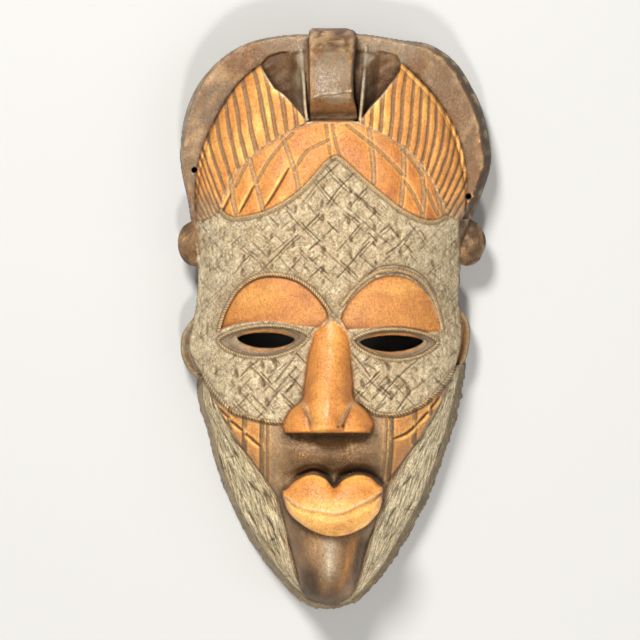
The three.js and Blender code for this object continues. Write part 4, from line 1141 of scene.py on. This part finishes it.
def carve_eyes(wood, face):
    """Lens-shaped surrounds that slope in to the sight slits"""
    for eye in eyes:
        lens_path = lens_outline(**eye["lens"])
        lens = within(lens_path, 16)
        slit = within(lens_outline(**eye["slit"]), 16)
        slope = np.clip(lens / np.maximum(lens - slit, 0.1), 0, 1)
        share = ramp(lens)
        wood.shape(face - EYE_RECESS * slope**1.3, share)
        wood.lay("clay_shade_and_sheen", share)
        wood.lay("slate", 0.6 * share * spots(4, 91, -0.8, 0.4))
        wood.lay("violet", 0.5 * share)
        wood.lay("shade", 0.12 * share)
        middle = (eye["slit"]["left"] + eye["slit"]["right"]) / 2
        half = (eye["slit"]["right"] - eye["slit"]["left"]) / 2
        above = ease(Y - eye["slit"]["y"], -2, 2)
        strip = bell(slope - 0.78, mix(0.1, 0.17, above))
        strip = strip * (1 - ease(np.abs(X - middle) / half, 0.5, 1.0)) * mix(0.6, 1, above)
        wood.lay("russet", 0.4 * share * strip)
        wood.lay("orange", 0.85 * share * strip)
        rim = bell(slope - 0.97, 0.035)
        wood.lay("crease", 0.6 * share * rim)
        rope(wood, np.vstack([lens_path, lens_path[:1]]), 1.9, 0.7, 1.9, ready=True)
        inner = {name: size + EYE_LINE.get(name, 0) for name, size in eye["lens"].items()}
        groove(wood, lens_outline(**inner), 1.2, 0.5, 0.6)
        wood.holes = np.maximum(wood.holes, ramp(slit))


def carve_cord_holes(wood):
    """Two bored holes with dark edges"""
    for x, y in cord_holes:
        away = from_point(x, y)
        wood.holes = np.maximum(wood.holes, ramp(CORD_HOLE / 2 - away))
        wood.lay("shade", 0.6 * bell(away - CORD_HOLE / 2, 1.0))


def lattice_places():
    """Places across the two sets of slanting lines, in line spacings"""
    slope = math.radians(LATTICE_SLOPE)
    places = []
    for hand, seed in ((1, 101), (-1, 102)):
        across = hand * (X - LATTICE_CENTRE[0]) * math.sin(slope)
        across = across + (Y - LATTICE_CENTRE[1]) * math.cos(slope)
        places.append(across / LATTICE_PITCH + 0.15 * speckle(24, seed) + 0.02 * speckle(5, seed + 5))
    return places


def nick(amount, dark_ring_and_shadow, x, y, turn, size):
    """Adds a small lens-shaped cut to the maps of cuts and of their dark outlines, the outline
    heavier on the right as painted shadow
    """
    w = window(x - 5, x + 5, y - 5, y + 5)
    c, s = math.cos(turn), math.sin(turn)
    dx, dy = X[w] - x, Y[w] - y
    reach = np.hypot((dx * c + dy * s) / (1.15 * size), (dy * c - dx * s) / (2.7 * size))
    amount[w] = np.maximum(amount[w], ease(reach, 1.15, 0.5))
    # Dark outline, heavier on the right: painted shadow of the cut
    dark_ring_and_shadow[w] = np.maximum(dark_ring_and_shadow[w], bell(reach - 0.8, 0.38) * (0.6 + 0.4 * ease(dx, -1, 1)))


def cut_kaolin(wood):
    """Lattice, strokes, nicks and scratches in the rubbed kaolin of forehead and cheeks"""
    kaolin = wood.share("kaolin")
    wood.lay("chalk_and_highlight", 0.45 * kaolin * ease(speckle(5, 103) + 0.8 * speckle(2.2, 104), 0.1, 1.1))
    wood.lay("ochre_and_shade", 0.35 * kaolin * ease(speckle(12, 105) + 0.9 * speckle(2.5, 106), 0.35, 1.3))
    temples = ease(np.abs(X + 3), 55, 72)
    wood.lay("chalk_and_highlight", 0.22 * kaolin * np.maximum(temples, ease(-Y, 10, 30) * (X < 0)))
    for turn, seed, outer in ((46, 161, 0.3), (-46, 162, 0.3), (20, 163, 0.5), (97, 164, 1.6)):
        strokes = speckle(1.0, seed, 6, turn)
        here = kaolin * spots(7, seed + 5, -0.4, 0.3) * mix(1, outer, temples)
        cut, left = ease(strokes, 0.3, 0.85), ease(-strokes, 0.4, 0.9)
        wood.raise_by(here * (0.2 * left - 0.35 * cut))
        wood.lay("ochre_and_shade", 0.5 * here * cut)
        wood.lay("chalk_and_highlight", 0.35 * here * left)
    wood.lattice = lattice_places()
    for k, place in enumerate(wood.lattice):
        for shift, depth, share in LATTICE_LINES:
            gap = np.abs((place + shift + 0.5) % 1 - 0.5) * LATTICE_PITCH
            seen = ease(speckle(7, 107 + k + round(20 * shift)), -0.25 + shift, 0.2 + shift)
            seen = kaolin * seen * mix(1, 0.4, temples)
            wood.line_shares.append(seen)
            wood.raise_by(-depth * seen * bell(gap, 0.6))
            wood.lay("ochre_and_shade", share * seen * bell(gap, 0.6))
            wood.lay("crease", 0.6 * share * seen * bell(gap - 0.25, 0.3))
    for turn, seed in ((75, 121), (105, 122), (50, 123)):
        scratch = ease(0.16 - np.abs(speckle(2.6, seed, 3.2, turn)), 0, 0.14)
        scratch = scratch * spots(6, seed + 10, 0.0, 0.5) * kaolin
        wood.raise_by(-0.4 * scratch * mix(0.45, 1, temples))
        wood.lay("crease", 0.5 * scratch * mix(0.4, 1, temples))
    for path in strong_lines:
        groove(wood, path, 1.3, 0.7, 0.75)
    for path in cheek_strokes:
        groove(wood, path, 2.2, 1.0, 0.7)
    random = np.random.default_rng(131)
    amount, dark_ring_and_shadow = np.zeros(X.shape), np.zeros(X.shape)
    for column in NICK_COLUMNS:
        for y in np.arange(100 - abs(column) * 0.9, -2, -NICK_STEP):
            x = column + random.uniform(-1.2, 1.2)
            y = y + random.uniform(-2, 2)
            turn = math.radians(random.uniform(-5, 30) * (1 if column > 0 else -1))
            nick(amount, dark_ring_and_shadow, x, y, turn, random.uniform(0.75, 1.1))
    for x, y in cheek_nicks:
        nick(amount, dark_ring_and_shadow, x, y, math.radians(15), 1.25)
    wood.raise_by(-0.9 * amount * kaolin)
    wood.lay("ochre_and_shade", 0.75 * amount * kaolin)
    wood.lay("crease", 0.85 * dark_ring_and_shadow * kaolin)


def ear_path(outline):
    """Closed outline of an ear, with its root in the face block"""
    side = np.sign(outline[0][0])
    return np.vstack([curve(outline, 60), [(side * EAR_ROOT_X, EAR_ROOT_Y)]])


def colour_outer_parts(wood):
    """Surfaces of the ears and temple knobs, which stand outside the face block, with a painted glint
    on each knob
    """
    outside = 1 - ramp(np.minimum(X - face_left(Y), face_right(Y) - X))
    for outline in ears:
        inward = within(ear_path(outline), 6)
        share = ramp(inward, 2) * outside
        wood.lay("violet", share)
        wood.lay("muzzle", share * ease(speckle(5, 141) + (X > 0), -0.3, 0.8))
        wood.lay("umber_and_shade", 0.85 * share * (X > 0) * ease(inward, 1, 3))
        wood.lay("shade", 0.3 * share * (X > 0) * ease(inward, 1, 3))
        wood.lay("rope", 0.8 * share * bell(inward - 0.8, 0.7))
    for knob in knobs:
        x, y, _ = knob["center"]
        away = from_point(x, y, knob["size"][0] + 2, knob["size"][1] + 2)
        share = ramp(1 - away, 0.1) * outside
        wood.lay("umber_and_shade", share)
        wood.lay("shade", 0.85 * share * ease(away + 0.6 * speckle(4, 142), 0.35, 0.9))
        wood.lay("muzzle", 0.7 * share * ease(-X, 60, 92) * ease(X, -106, -92))
        wood.lay("seam", share * (0.35 if x < 0 else 0.9) * spots(3, 144, 0, 0.7, 2))
        wood.lay("orange", 0.45 * share * (X > 0) * spots(3, 150, -0.6, 0.5))
        wood.lay("gold", 0.5 * share * (X > 0) * spots(2, 145, 0.2, 0.8, 2))
        # Lighter spot on each knob: painted glint
        wear_and_glint = bell(from_point(*knob["wear_and_glint"]), 6)
        wood.lay("seam", 0.6 * share * wear_and_glint * spots(2.5, 148, -0.5, 0.5))
        wood.lay("gold", 0.8 * share * ease(wear_and_glint, 0.5, 1) * spots(1.5, 149, -0.3, 0.4))
    beside_knob = ease(X + 0.8 * speckle(2, 146, 3, 100), 86, 88) * ease(Y, 34, 40) * ease(Y, 74, 68)
    wood.lay("muzzle", beside_knob)
    wood.lay("shade", 0.8 * beside_knob * spots(3, 147, -0.4, 0.3))


def mottle(wood):
    """Uneven stain over the large surfaces"""
    orange = wood.share("orange", "gold")
    wood.lay("russet", 0.35 * orange * ease(speckle(11, 151, 2.2) + 0.4 * speckle(3, 152), 0.2, 1.1))
    reddish = ease(X, 20, 90) * ease(Y, 60, 120)
    wood.lay("russet", 0.3 * orange * reddish)
    dark = wood.share("muzzle", "slate", "clay_shade_and_sheen")
    fine = speckle(1.6, 155, 1.5) + 0.7 * speckle(5, 156)
    wood.lay("seam", 0.5 * wood.share("muzzle", "clay_shade_and_sheen") * ease(fine, 0.1, 0.9))
    wood.lay("umber_and_shade", 0.5 * dark * ease(speckle(8, 153, 1.5) + 0.5 * speckle(2.5, 154), 0.3, 1.2))


def carve_front():
    """The whole front, from the face form to the finest cuts"""
    face = face_form()
    wood = carve_block(face)
    carve_lobes(wood, face)
    carve_band(wood, face)
    carve_crown(wood, face)
    carve_lids(wood, face)
    carve_cheek_edges(wood)
    carve_panels(wood)
    carve_jaws(wood)
    carve_mouth(wood)
    carve_nose(wood, face)
    carve_eyes(wood, face)
    carve_cord_holes(wood)
    colour_outer_parts(wood)
    cut_kaolin(wood)
    mottle(wood)
    return wood


def carve_back():
    """Heights of the hollow behind, with the marks of the gouge"""
    left, right = hollow_left(Y), hollow_right(Y)
    span = np.abs(2 * (X - left) / (right - left) - 1)
    inside = np.minimum(1 - span, np.minimum(HOLLOW_TOP_Y - Y, Y - HOLLOW_END_Y) / 50)
    depth = 2 + hollow_height(Y) * np.maximum(0, 1 - np.minimum(1, span) ** 2.8) ** 0.55
    scoop = (X / GOUGE_WIDTH + 0.35 * speckle(25, 161)) % 1 - 0.5
    depth = depth - GOUGE_DEPTH * (4 * scoop**2 - 0.5) * ease(depth, 6, 20)
    return np.where(inside > 0, depth, 0)


def wood_between(front, back):
    """Volume of the wood between two height maps: negative inside, in columns, rows and levels"""
    front_t, back_t = front.T.astype(np.float32), back.T.astype(np.float32)
    volume = np.empty((len(columns), len(rows), len(levels)), np.float32)
    for k, z in enumerate(levels):
        volume[:, :, k] = np.clip(np.maximum(z - front_t, back_t - z), -FAR, FAR)
    return volume


def join_ear(volume, outline):
    """Adds an ear with rounded edges and a slightly hollow front"""
    inward = within(ear_path(outline), 8).T
    top = EAR_FRONT_Z - EAR_HOLLOW * ease(inward, 2, 6)
    corner = np.maximum(0, EAR_ROUNDING - inward)
    for k, z in enumerate(levels):
        if EAR_BACK_Z - EAR_MARGIN < z < EAR_FRONT_Z + EAR_MARGIN:
            edge = np.maximum(EAR_BACK_Z - z, z - top)
            rounded = np.hypot(corner, np.maximum(0, edge + EAR_ROUNDING)) - EAR_ROUNDING
            layer = np.where(inward > -4, np.maximum(rounded, np.maximum(-inward, edge)), FAR)
            volume[:, :, k] = np.minimum(volume[:, :, k], np.clip(layer, -FAR, FAR))


def join_knob(volume, knob):
    """Adds a round knob with facets cut at random"""
    (x, y, z), size = knob["center"], np.array(knob["size"])
    reach = size + 4
    r, c = window(x - reach[0], x + reach[0], y - reach[1], y + reach[1])
    depth = slice(*np.searchsorted(levels, (z - reach[2], z + reach[2])))
    gx = (columns[c][:, None, None] - x) / size[0]
    gy = (rows[r][None, :, None] - y) / size[1]
    gz = (levels[depth][None, None, :] - z) / size[2]
    ball = np.sqrt(gx**2 + gy**2 + gz**2) - 1
    for facet in np.random.default_rng(171).normal(size=(KNOB_FACETS, 3)):
        out = facet[0] * gx + facet[1] * gy + facet[2] * gz
        ball = np.maximum(ball, out / math.hypot(*facet) - KNOB_FACET_REACH)
    ball = np.clip(ball * size.min(), -FAR, FAR)
    volume[c, r, depth] = np.minimum(volume[c, r, depth], ball)


def surface_of(volume):
    """Plan positions, triangles and four-sided faces of the wood's surface"""
    grid = openvdb.FloatGrid(FAR)
    grid.copyFromArray(volume, tolerance=1e-3)
    points, triangles, quads = grid.convertToPolygons(isovalue=0, adaptivity=0)
    steps = ((columns[0], CELL), (rows[0], CELL), (levels[0], LAYER))
    position = np.empty((len(points), 3))
    for axis, (start, step) in enumerate(steps):
        position[:, axis] = start + points[:, axis] * step
    return position, triangles, quads


def draw_in(p):
    """Plan position to real position: drawn in to the sight line by its height"""
    out = p.copy()
    scale = 1 - p[:, 2] / SIGHT_HEIGHT
    for axis in (0, 1):
        away = p[:, axis] - SIGHT_POINT[axis]
        out[:, axis] = SIGHT_POINT[axis] + away * scale - ORIGIN_SHIFT[axis]
    return out


def draw_out(p):
    """Real position back to its plan position"""
    out = p.copy()
    scale = 1 - p[:, 2] / SIGHT_HEIGHT
    for axis in (0, 1):
        away = p[:, axis] + ORIGIN_SHIFT[axis] - SIGHT_POINT[axis]
        out[:, axis] = SIGHT_POINT[axis] + away / scale
    return out


def sample(field, plan):
    """Values of a map at plan positions, between its samples"""
    u = np.clip((plan[:, 0] - columns[0]) / CELL, 0, len(columns) - 1.001)
    v = np.clip((plan[:, 1] - rows[0]) / CELL, 0, len(rows) - 1.001)
    i, j = u.astype(int), v.astype(int)
    fu, fv = u - i, v - j
    if field.ndim == 3:
        fu, fv = fu[:, None], fv[:, None]
    low = mix(field[j, i], field[j, i + 1], fu)
    high = mix(field[j + 1, i], field[j + 1, i + 1], fu)
    return mix(low, high, fv)


def make_mesh(name, vertices, quads, triangles):
    mesh = bpy.data.meshes.new(name)
    mesh.vertices.add(len(vertices))
    mesh.vertices.foreach_set("co", vertices.astype(np.float32).ravel())
    loops = np.concatenate([quads.ravel(), triangles.ravel()]).astype(np.int32)
    sizes = np.concatenate([np.full(len(quads), 4), np.full(len(triangles), 3)])
    starts = np.concatenate([[0], np.cumsum(sizes)[:-1]]).astype(np.int32)
    mesh.loops.add(len(loops))
    mesh.loops.foreach_set("vertex_index", loops)
    mesh.polygons.add(len(sizes))
    mesh.polygons.foreach_set("loop_start", starts)
    mesh.update(calc_edges=True)
    mesh.validate()
    return mesh


def thin_out(piece, ratio):
    """Fewer triangles, taken first where the wood is plain"""
    thin = piece.modifiers.new("thin", "DECIMATE")
    thin.ratio = min(1.0, ratio)
    bpy.ops.object.modifier_apply(modifier="thin")


def drop_strays(mesh):
    """Takes out the faces that thinning has left apart from the rest"""
    shell = bmesh.new()
    shell.from_mesh(mesh)
    strays = [face for face in shell.faces
              if len({other for edge in face.edges for other in edge.link_faces}) < 3]
    bmesh.ops.delete(shell, geom=strays, context="FACES")
    shell.to_mesh(mesh)
    shell.free()


def make_piece(position, triangles, quads):
    """The mask as one closed mesh"""
    mesh = make_mesh("mask_wood", draw_in(position) * MM, quads, triangles)
    piece = bpy.data.objects.new("carved_mask", mesh)
    bpy.context.scene.collection.objects.link(piece)
    bpy.context.view_layer.objects.active = piece
    piece.select_set(True)
    thin_out(piece, TRIANGLES / (2 * len(quads) + len(triangles)))
    drop_strays(piece.data)
    return piece


def keep_in_box(mesh):
    """Clips a mesh to the solid's box and returns its vertices"""
    coords = np.empty(len(mesh.vertices) * 3, np.float32)
    mesh.vertices.foreach_get("co", coords)
    low, high = (np.array(corner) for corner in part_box("mask"))
    coords = np.clip(coords.reshape(-1, 3).astype(float), low, high)
    mesh.vertices.foreach_set("co", coords.astype(np.float32).ravel())
    mesh.update()
    return coords


def colour_maps(wood):
    """Colour, polish and crust over the plan"""
    shown = sum(wood.shares.values())
    maps = []
    for part in (0, 1, 2):
        value = 0
        for name, share in wood.shares.items():
            value = value + share[..., None] * np.atleast_1d(SURFACES[name][part])
        maps.append(value / np.maximum(shown, 1e-3)[..., None])
    return maps


def darken_hollows_lighten_edges(front, tint, polish):
    """Darker, less polished in the low places and lighter, more polished on the proud edges"""
    fine, broad = front - blur(front, 0.9), front - blur(front, 3.0)
    lit = front > OUTSIDE_Z + 1
    hollow_dark = lit * (0.45 * ease(-fine, 0.1, 0.9) + 0.35 * ease(-broad, 0.4, 3.5))
    rubbed = spots(2.5, 175, -0.7, 0.3, 2)
    wear_and_glint = lit * (0.45 * rubbed * ease(fine, 0.1, 0.7) + 0.3 * ease(broad, 0.5, 3))
    tint = mix(tint, tint * HOLLOW_DARK_COLOUR * 1.2, hollow_dark[..., None])
    tint = tint * (1 + 0.55 * wear_and_glint[..., None])
    return tint, np.clip(polish + 0.5 * wear_and_glint[..., None] - 0.6 * hollow_dark[..., None], 0, 1)


def worn_stain(wood):
    """Share of fine gold flecks, where dark stain has rubbed off the muzzle, chin and outer parts"""
    dark = wood.share("umber_and_shade", "clay_shade_and_sheen", "muzzle", "slate") + 0.3 * wood.share("shade")
    low = ease(-Y, 66, 84) * (1 - 0.6 * bell(X + 3, 5) * (Y < -150))
    low = low * (1 - 0.7 * ease(X, 8, 20) * ease(Y, -125, -115))
    patchy = ease(speckle(7, 181, 1.5) + 0.5 * speckle(2.5, 182), -0.9, 0.6)
    return dark * np.maximum(0.9 * low, 0.35) * patchy


def add_layer(mesh, name, *parts):
    """Up to three values at each vertex, that the shader reads"""
    values = np.zeros((len(mesh.vertices), 3), np.float32)
    given = np.hstack([part.reshape(len(values), -1) for part in parts])
    values[:, :given.shape[1]] = given
    layer = mesh.attributes.new(name, "FLOAT_VECTOR", "POINT")
    layer.data.foreach_set("vector", values.ravel())


def add_layers(mesh, wood, front):
    """Colour, finish and the places of the fine patterns, from the plan to the vertices"""
    plan = draw_out(keep_in_box(mesh) / MM)
    sunk = sample(front, plan) - plan[:, 2]
    on_front, deep = sunk < INSIDE_FADE[0], ease(sunk, *INSIDE_FADE)[:, None]
    tint_map, polish_map, crust_map = colour_maps(wood)
    tint_map, polish_map = darken_hollows_lighten_edges(front, tint_map, polish_map)
    wall = ease(plan[:, 2], *WALL_FADE_Z)[:, None] * (1 - deep)
    wall_colour = np.array(SURFACES["rim"][0]) * mix(1.7, 1.0, ease(plan[:, :1], -30, 30))
    tint = mix(sample(tint_map, plan), wall_colour, 0.75 * wall)
    inside_tint, inside_polish, inside_crust = SURFACES["inside"]
    add_layer(mesh, "tint", mix(tint, np.array(inside_tint), deep))

    def shown(field):
        return sample(field, plan) * on_front

    add_layer(
        mesh, "finish", mix(sample(polish_map, plan), inside_polish, deep),
        mix(sample(crust_map, plan), inside_crust, deep),
        shown(wood.share("kaolin", "chalk_and_highlight", "ochre_and_shade")),
    )
    _, turn, twisted = wood.twine
    add_layer(mesh, "twine", sample(turn, plan), shown(twisted), shown(worn_stain(wood)))
    add_layer(mesh, "lattice", *[sample(place, plan) for place in wood.lattice])
    add_layer(mesh, "lines_a", *[shown(share) for share in wood.line_shares[:3]])
    add_layer(mesh, "lines_b", *[shown(share) for share in wood.line_shares[3:]])
    add_layer(mesh, "bark", *[sample(field, plan) for field in wood.bark])
    mesh.polygons.foreach_set("use_smooth", np.ones(len(mesh.polygons), bool))


class Nodes:
    """Short way to write a shader: each call adds a node and returns its output"""

    def __init__(self, tree):
        self.tree = tree

    def add(self, kind, *sources, **settings):
        node = self.tree.nodes.new(kind)
        for name, value in settings.items():
            setattr(node, name, value)
        for socket, source in zip(node.inputs, sources):
            if isinstance(source, bpy.types.NodeSocket):
                self.tree.links.new(source, socket)
            elif source is not None:
                socket.default_value = source
        return node

    def math(self, operation, *sources):
        return self.add("ShaderNodeMath", *sources, operation=operation).outputs[0]

    def times(self, first, *others):
        for other in others:
            first = self.math("MULTIPLY", first, other)
        return first

    def plus(self, first, *others):
        for other in others:
            first = self.math("ADD", first, other)
        return first

    def span(self, value, low, high, to_low=0.0, to_high=1.0):
        return self.add("ShaderNodeMapRange", value, low, high, to_low, to_high).outputs[0]

    def noise(self, vector, scale, detail=4.0):
        node = self.add("ShaderNodeTexNoise", vector)
        node.inputs["Scale"].default_value = scale
        node.inputs["Detail"].default_value = detail
        return node.outputs["Fac"]

    def scale(self, vector, amounts):
        return self.add("ShaderNodeVectorMath", vector, amounts, operation="MULTIPLY").outputs[0]

    def blend(self, kind, share, first, second):
        """Mix of two colours, whose sockets come after five that it doesn't use"""
        sources = (share, *[None] * 5, first, second)
        node = self.add("ShaderNodeMix", *sources, data_type="RGBA", blend_type=kind)
        return node.outputs[2]

    def attribute(self, name):
        return self.add("ShaderNodeAttribute", attribute_name=name).outputs["Vector"]

    def parts(self, vector):
        return self.add("ShaderNodeSeparateXYZ", vector).outputs

    def turned(self, vector, degrees):
        node = self.add("ShaderNodeVectorRotate", rotation_type="Z_AXIS")
        node.inputs["Angle"].default_value = math.radians(degrees)
        self.tree.links.new(vector, node.inputs["Vector"])
        return node.outputs[0]

    def from_middle(self, value):
        return self.math("ABSOLUTE", self.math("SUBTRACT", value, 0.5))

    def gate(self, share, value):
        """1 where the share is 0, the value where it is 1"""
        change = self.math("SUBTRACT", value, 1.0)
        return self.math("MULTIPLY_ADD", share, change, 1.0)


def crackle(n, place, scale, width, dark):
    """Thin winding lines of a darker tone, 1 away from them"""
    return n.span(n.from_middle(n.noise(place, scale, 7.0)), 0.0, width, dark, 1.0)


def scratches(n, place, degrees, length, spacing, dark):
    """Long thin lines along a direction, sizes in mm"""
    along_line = n.scale(n.turned(place, -degrees), (1000 / length, 1000 / spacing, 0.0))
    return n.span(n.from_middle(n.noise(along_line, 1.0, 2.0)), 0.0, 0.045, dark, 1.0)


def lattice_tone(n):
    """Darkens the thin middle of each cut of the lattice"""
    tone = 1.0
    for place, name in zip(n.parts(n.attribute("lattice")), ("lines_a", "lines_b")):
        for (shift, _, strength), seen in zip(LATTICE_LINES, n.parts(n.attribute(name))):
            away = n.from_middle(n.math("FRACT", n.plus(place, shift + 0.5)))
            line = n.span(away, 0.006, 0.032, 0.82 - 0.5 * strength, 1.0)
            tone = n.times(n.gate(seen, line), tone)
    return tone


def stain_colour(n, place, patches, flecked, bark):
    """Carved colours, uneven in tone, with gold flecks and the yellow fibres of the jaw's wall"""
    uneven = n.blend("MIX", patches, (0.74, 0.70, 0.66, 1), (1.26, 1.26, 1.26, 1))
    base = n.blend("MULTIPLY", 1.0, n.attribute("tint"), uneven)
    flecks = n.times(flecked, n.span(n.noise(place, 800.0, 5.0), 0.50, 0.60))
    base = n.blend("MIX", flecks, base, FLECK_COLOUR)
    _, across, on_bark = n.parts(bark)
    on_wall = n.times(on_bark, n.span(across, JAW_WIDTH, JAW_WIDTH + 2))
    fibres = n.times(on_wall, n.span(n.noise(place, 420.0, 3.0), 0.60, 0.64))
    return n.blend("MIX", fibres, base, FIBRE_COLOUR)


def pattern_tone(n, place, patches, kaolin, rope, bark):
    """Twist of the ropes, strands of the bark and lines in the kaolin, 1 where there are none"""
    turn, on_rope = rope
    twist = n.math("COSINE", n.times(turn, 2 * math.pi))
    twist_tone = n.gate(on_rope, n.span(twist, -0.7, 0.7, 0.6, 1.22))
    strands = n.plus(
        n.noise(n.scale(bark, (1 / 15, 1 / 0.65, 0.0)), 1.0, 3.0),
        n.noise(n.scale(n.turned(bark, -10), (1 / 9, 1 / 0.9, 0.0)), 1.0, 3.0),
    )
    strand_tone = n.gate(n.parts(bark)[2], n.span(strands, 0.84, 1.16, 0.48, 1.42))
    hatch = n.times(*[scratches(n, place, *stroke) for stroke in HATCH_STROKES])
    hatch = n.gate(n.times(kaolin, n.span(patches, 0.35, 0.6)), hatch)
    return n.times(twist_tone, strand_tone, n.times(hatch, lattice_tone(n)))


def wood_material():
    """Stained, rubbed and crusted wood"""
    material = bpy.data.materials.new("carved_wood")
    material.use_nodes = True
    n = Nodes(material.node_tree)
    shader = material.node_tree.nodes["Principled BSDF"]
    link = material.node_tree.links.new
    place = n.add("ShaderNodeTexCoord").outputs["Object"]
    polish, crust, kaolin = n.parts(n.attribute("finish"))
    turn, on_rope, flecked = n.parts(n.attribute("twine"))
    bark = n.attribute("bark")
    grain = n.noise(n.scale(place, (1.0, 0.5, 0.7)), 700.0, 5.0)
    pores = n.noise(place, 1500.0, 4.0)
    crumbs = n.noise(place, 520.0, 6.0)
    patches = n.noise(place, 110.0, 5.0)
    specks = n.span(n.noise(place, 1100.0, 2.0), 0.30, 0.40, 0.5, 1.0)
    lines = n.times(crackle(n, place, 330.0, 0.035, 0.66), crackle(n, place, 600.0, 0.05, 0.8))
    pattern = pattern_tone(n, place, patches, kaolin, (turn, on_rope), bark)
    smooth_tone = n.span(grain, 0.25, 0.75, 0.80, 1.18)
    crust_tone = n.span(crumbs, 0.3, 0.7, 0.74, 1.24)
    tone = n.add("ShaderNodeMix", crust, None, smooth_tone, crust_tone, data_type="FLOAT").outputs[0]
    base = stain_colour(n, place, patches, flecked, bark)
    base = n.add("ShaderNodeVectorMath", base, operation="SCALE")
    link(n.times(tone, specks, lines, pattern), base.inputs["Scale"])
    link(base.outputs[0], shader.inputs["Base Color"])
    rough = n.plus(
        n.span(polish, 0.0, 1.0, 0.92, 0.34), n.span(patches, 0.3, 0.7, -0.07, 0.10),
        n.span(pores, 0.3, 0.7, -0.04, 0.05),
    )
    link(rough, shader.inputs["Roughness"])
    shader.inputs["Specular IOR Level"].default_value = 0.4
    relief = n.plus(
        n.times(crumbs, n.span(crust, 0.0, 1.0, 0.15, 1.3)), n.times(grain, 0.25),
        n.times(pores, 0.12), n.times(lines, 0.5), n.times(pattern, 0.6),
    )
    bump = n.add("ShaderNodeBump")
    bump.inputs["Distance"].default_value = 0.0009
    bump.inputs["Strength"].default_value = 0.55
    link(relief, bump.inputs["Height"])
    link(bump.outputs["Normal"], shader.inputs["Normal"])
    return material


def plain_material(name, colour):
    material = bpy.data.materials.new(name)
    material.use_nodes = True
    shader = material.node_tree.nodes["Principled BSDF"]
    shader.inputs["Base Color"].default_value = (*colour, 1)
    shader.inputs["Roughness"].default_value = 0.9
    return material


def make_floor():
    mesh = bpy.data.meshes.new("floor")
    corners = [(-1, -1), (1, -1), (1, 1), (-1, 1)]
    mesh.from_pydata([(x * FLOOR_REACH, y * FLOOR_REACH, 0) for x, y in corners], [], [(0, 1, 2, 3)])
    mesh.materials.append(plain_material("pale_floor", FLOOR_COLOUR))
    floor = bpy.data.objects.new("floor", mesh)
    bpy.context.scene.collection.objects.link(floor)


def add_light(name, place, size, watts):
    data = bpy.data.lights.new(name, "AREA")
    data.shape = "DISK"
    data.size = size
    data.energy = watts
    lamp = bpy.data.objects.new(name, data)
    lamp.location = place
    toward = Vector(LIGHT_TARGET) - Vector(place)
    lamp.rotation_euler = toward.to_track_quat("-Z", "Y").to_euler()
    bpy.context.scene.collection.objects.link(lamp)


def make_camera():
    """Camera above the sight point, looking straight down"""
    data = bpy.data.cameras.new("camera")
    data.sensor_width = CAMERA_SENSOR
    data.lens = CAMERA_SENSOR * SIGHT_HEIGHT / PICTURE_WIDTH
    data.clip_end = 50
    camera = bpy.data.objects.new("camera", data)
    x, y = (point - shift for point, shift in zip(SIGHT_POINT, ORIGIN_SHIFT))
    camera.location = [x * MM, y * MM, SIGHT_HEIGHT * MM]
    bpy.context.scene.collection.objects.link(camera)
    bpy.context.scene.camera = camera


def make_world():
    world = bpy.data.worlds.new("studio")
    world.use_nodes = True
    background = world.node_tree.nodes["Background"]
    background.inputs["Color"].default_value = (1, 1, 1, 1)
    background.inputs["Strength"].default_value = 0.28
    bpy.context.scene.world = world
    bpy.context.scene.view_settings.view_transform = "Standard"


wood = carve_front()
front = mix(wood.height, OUTSIDE_Z, wood.holes)
volume = wood_between(front, carve_back())
for outline in ears:
    join_ear(volume, outline)
for knob in knobs:
    join_knob(volume, knob)
piece = make_piece(*surface_of(volume))
add_layers(piece.data, wood, front)
piece.data.materials.append(wood_material())
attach(piece, "root")
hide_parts("mask")

make_floor()
for light in LIGHTS:
    add_light(*light)
make_camera()
make_world()
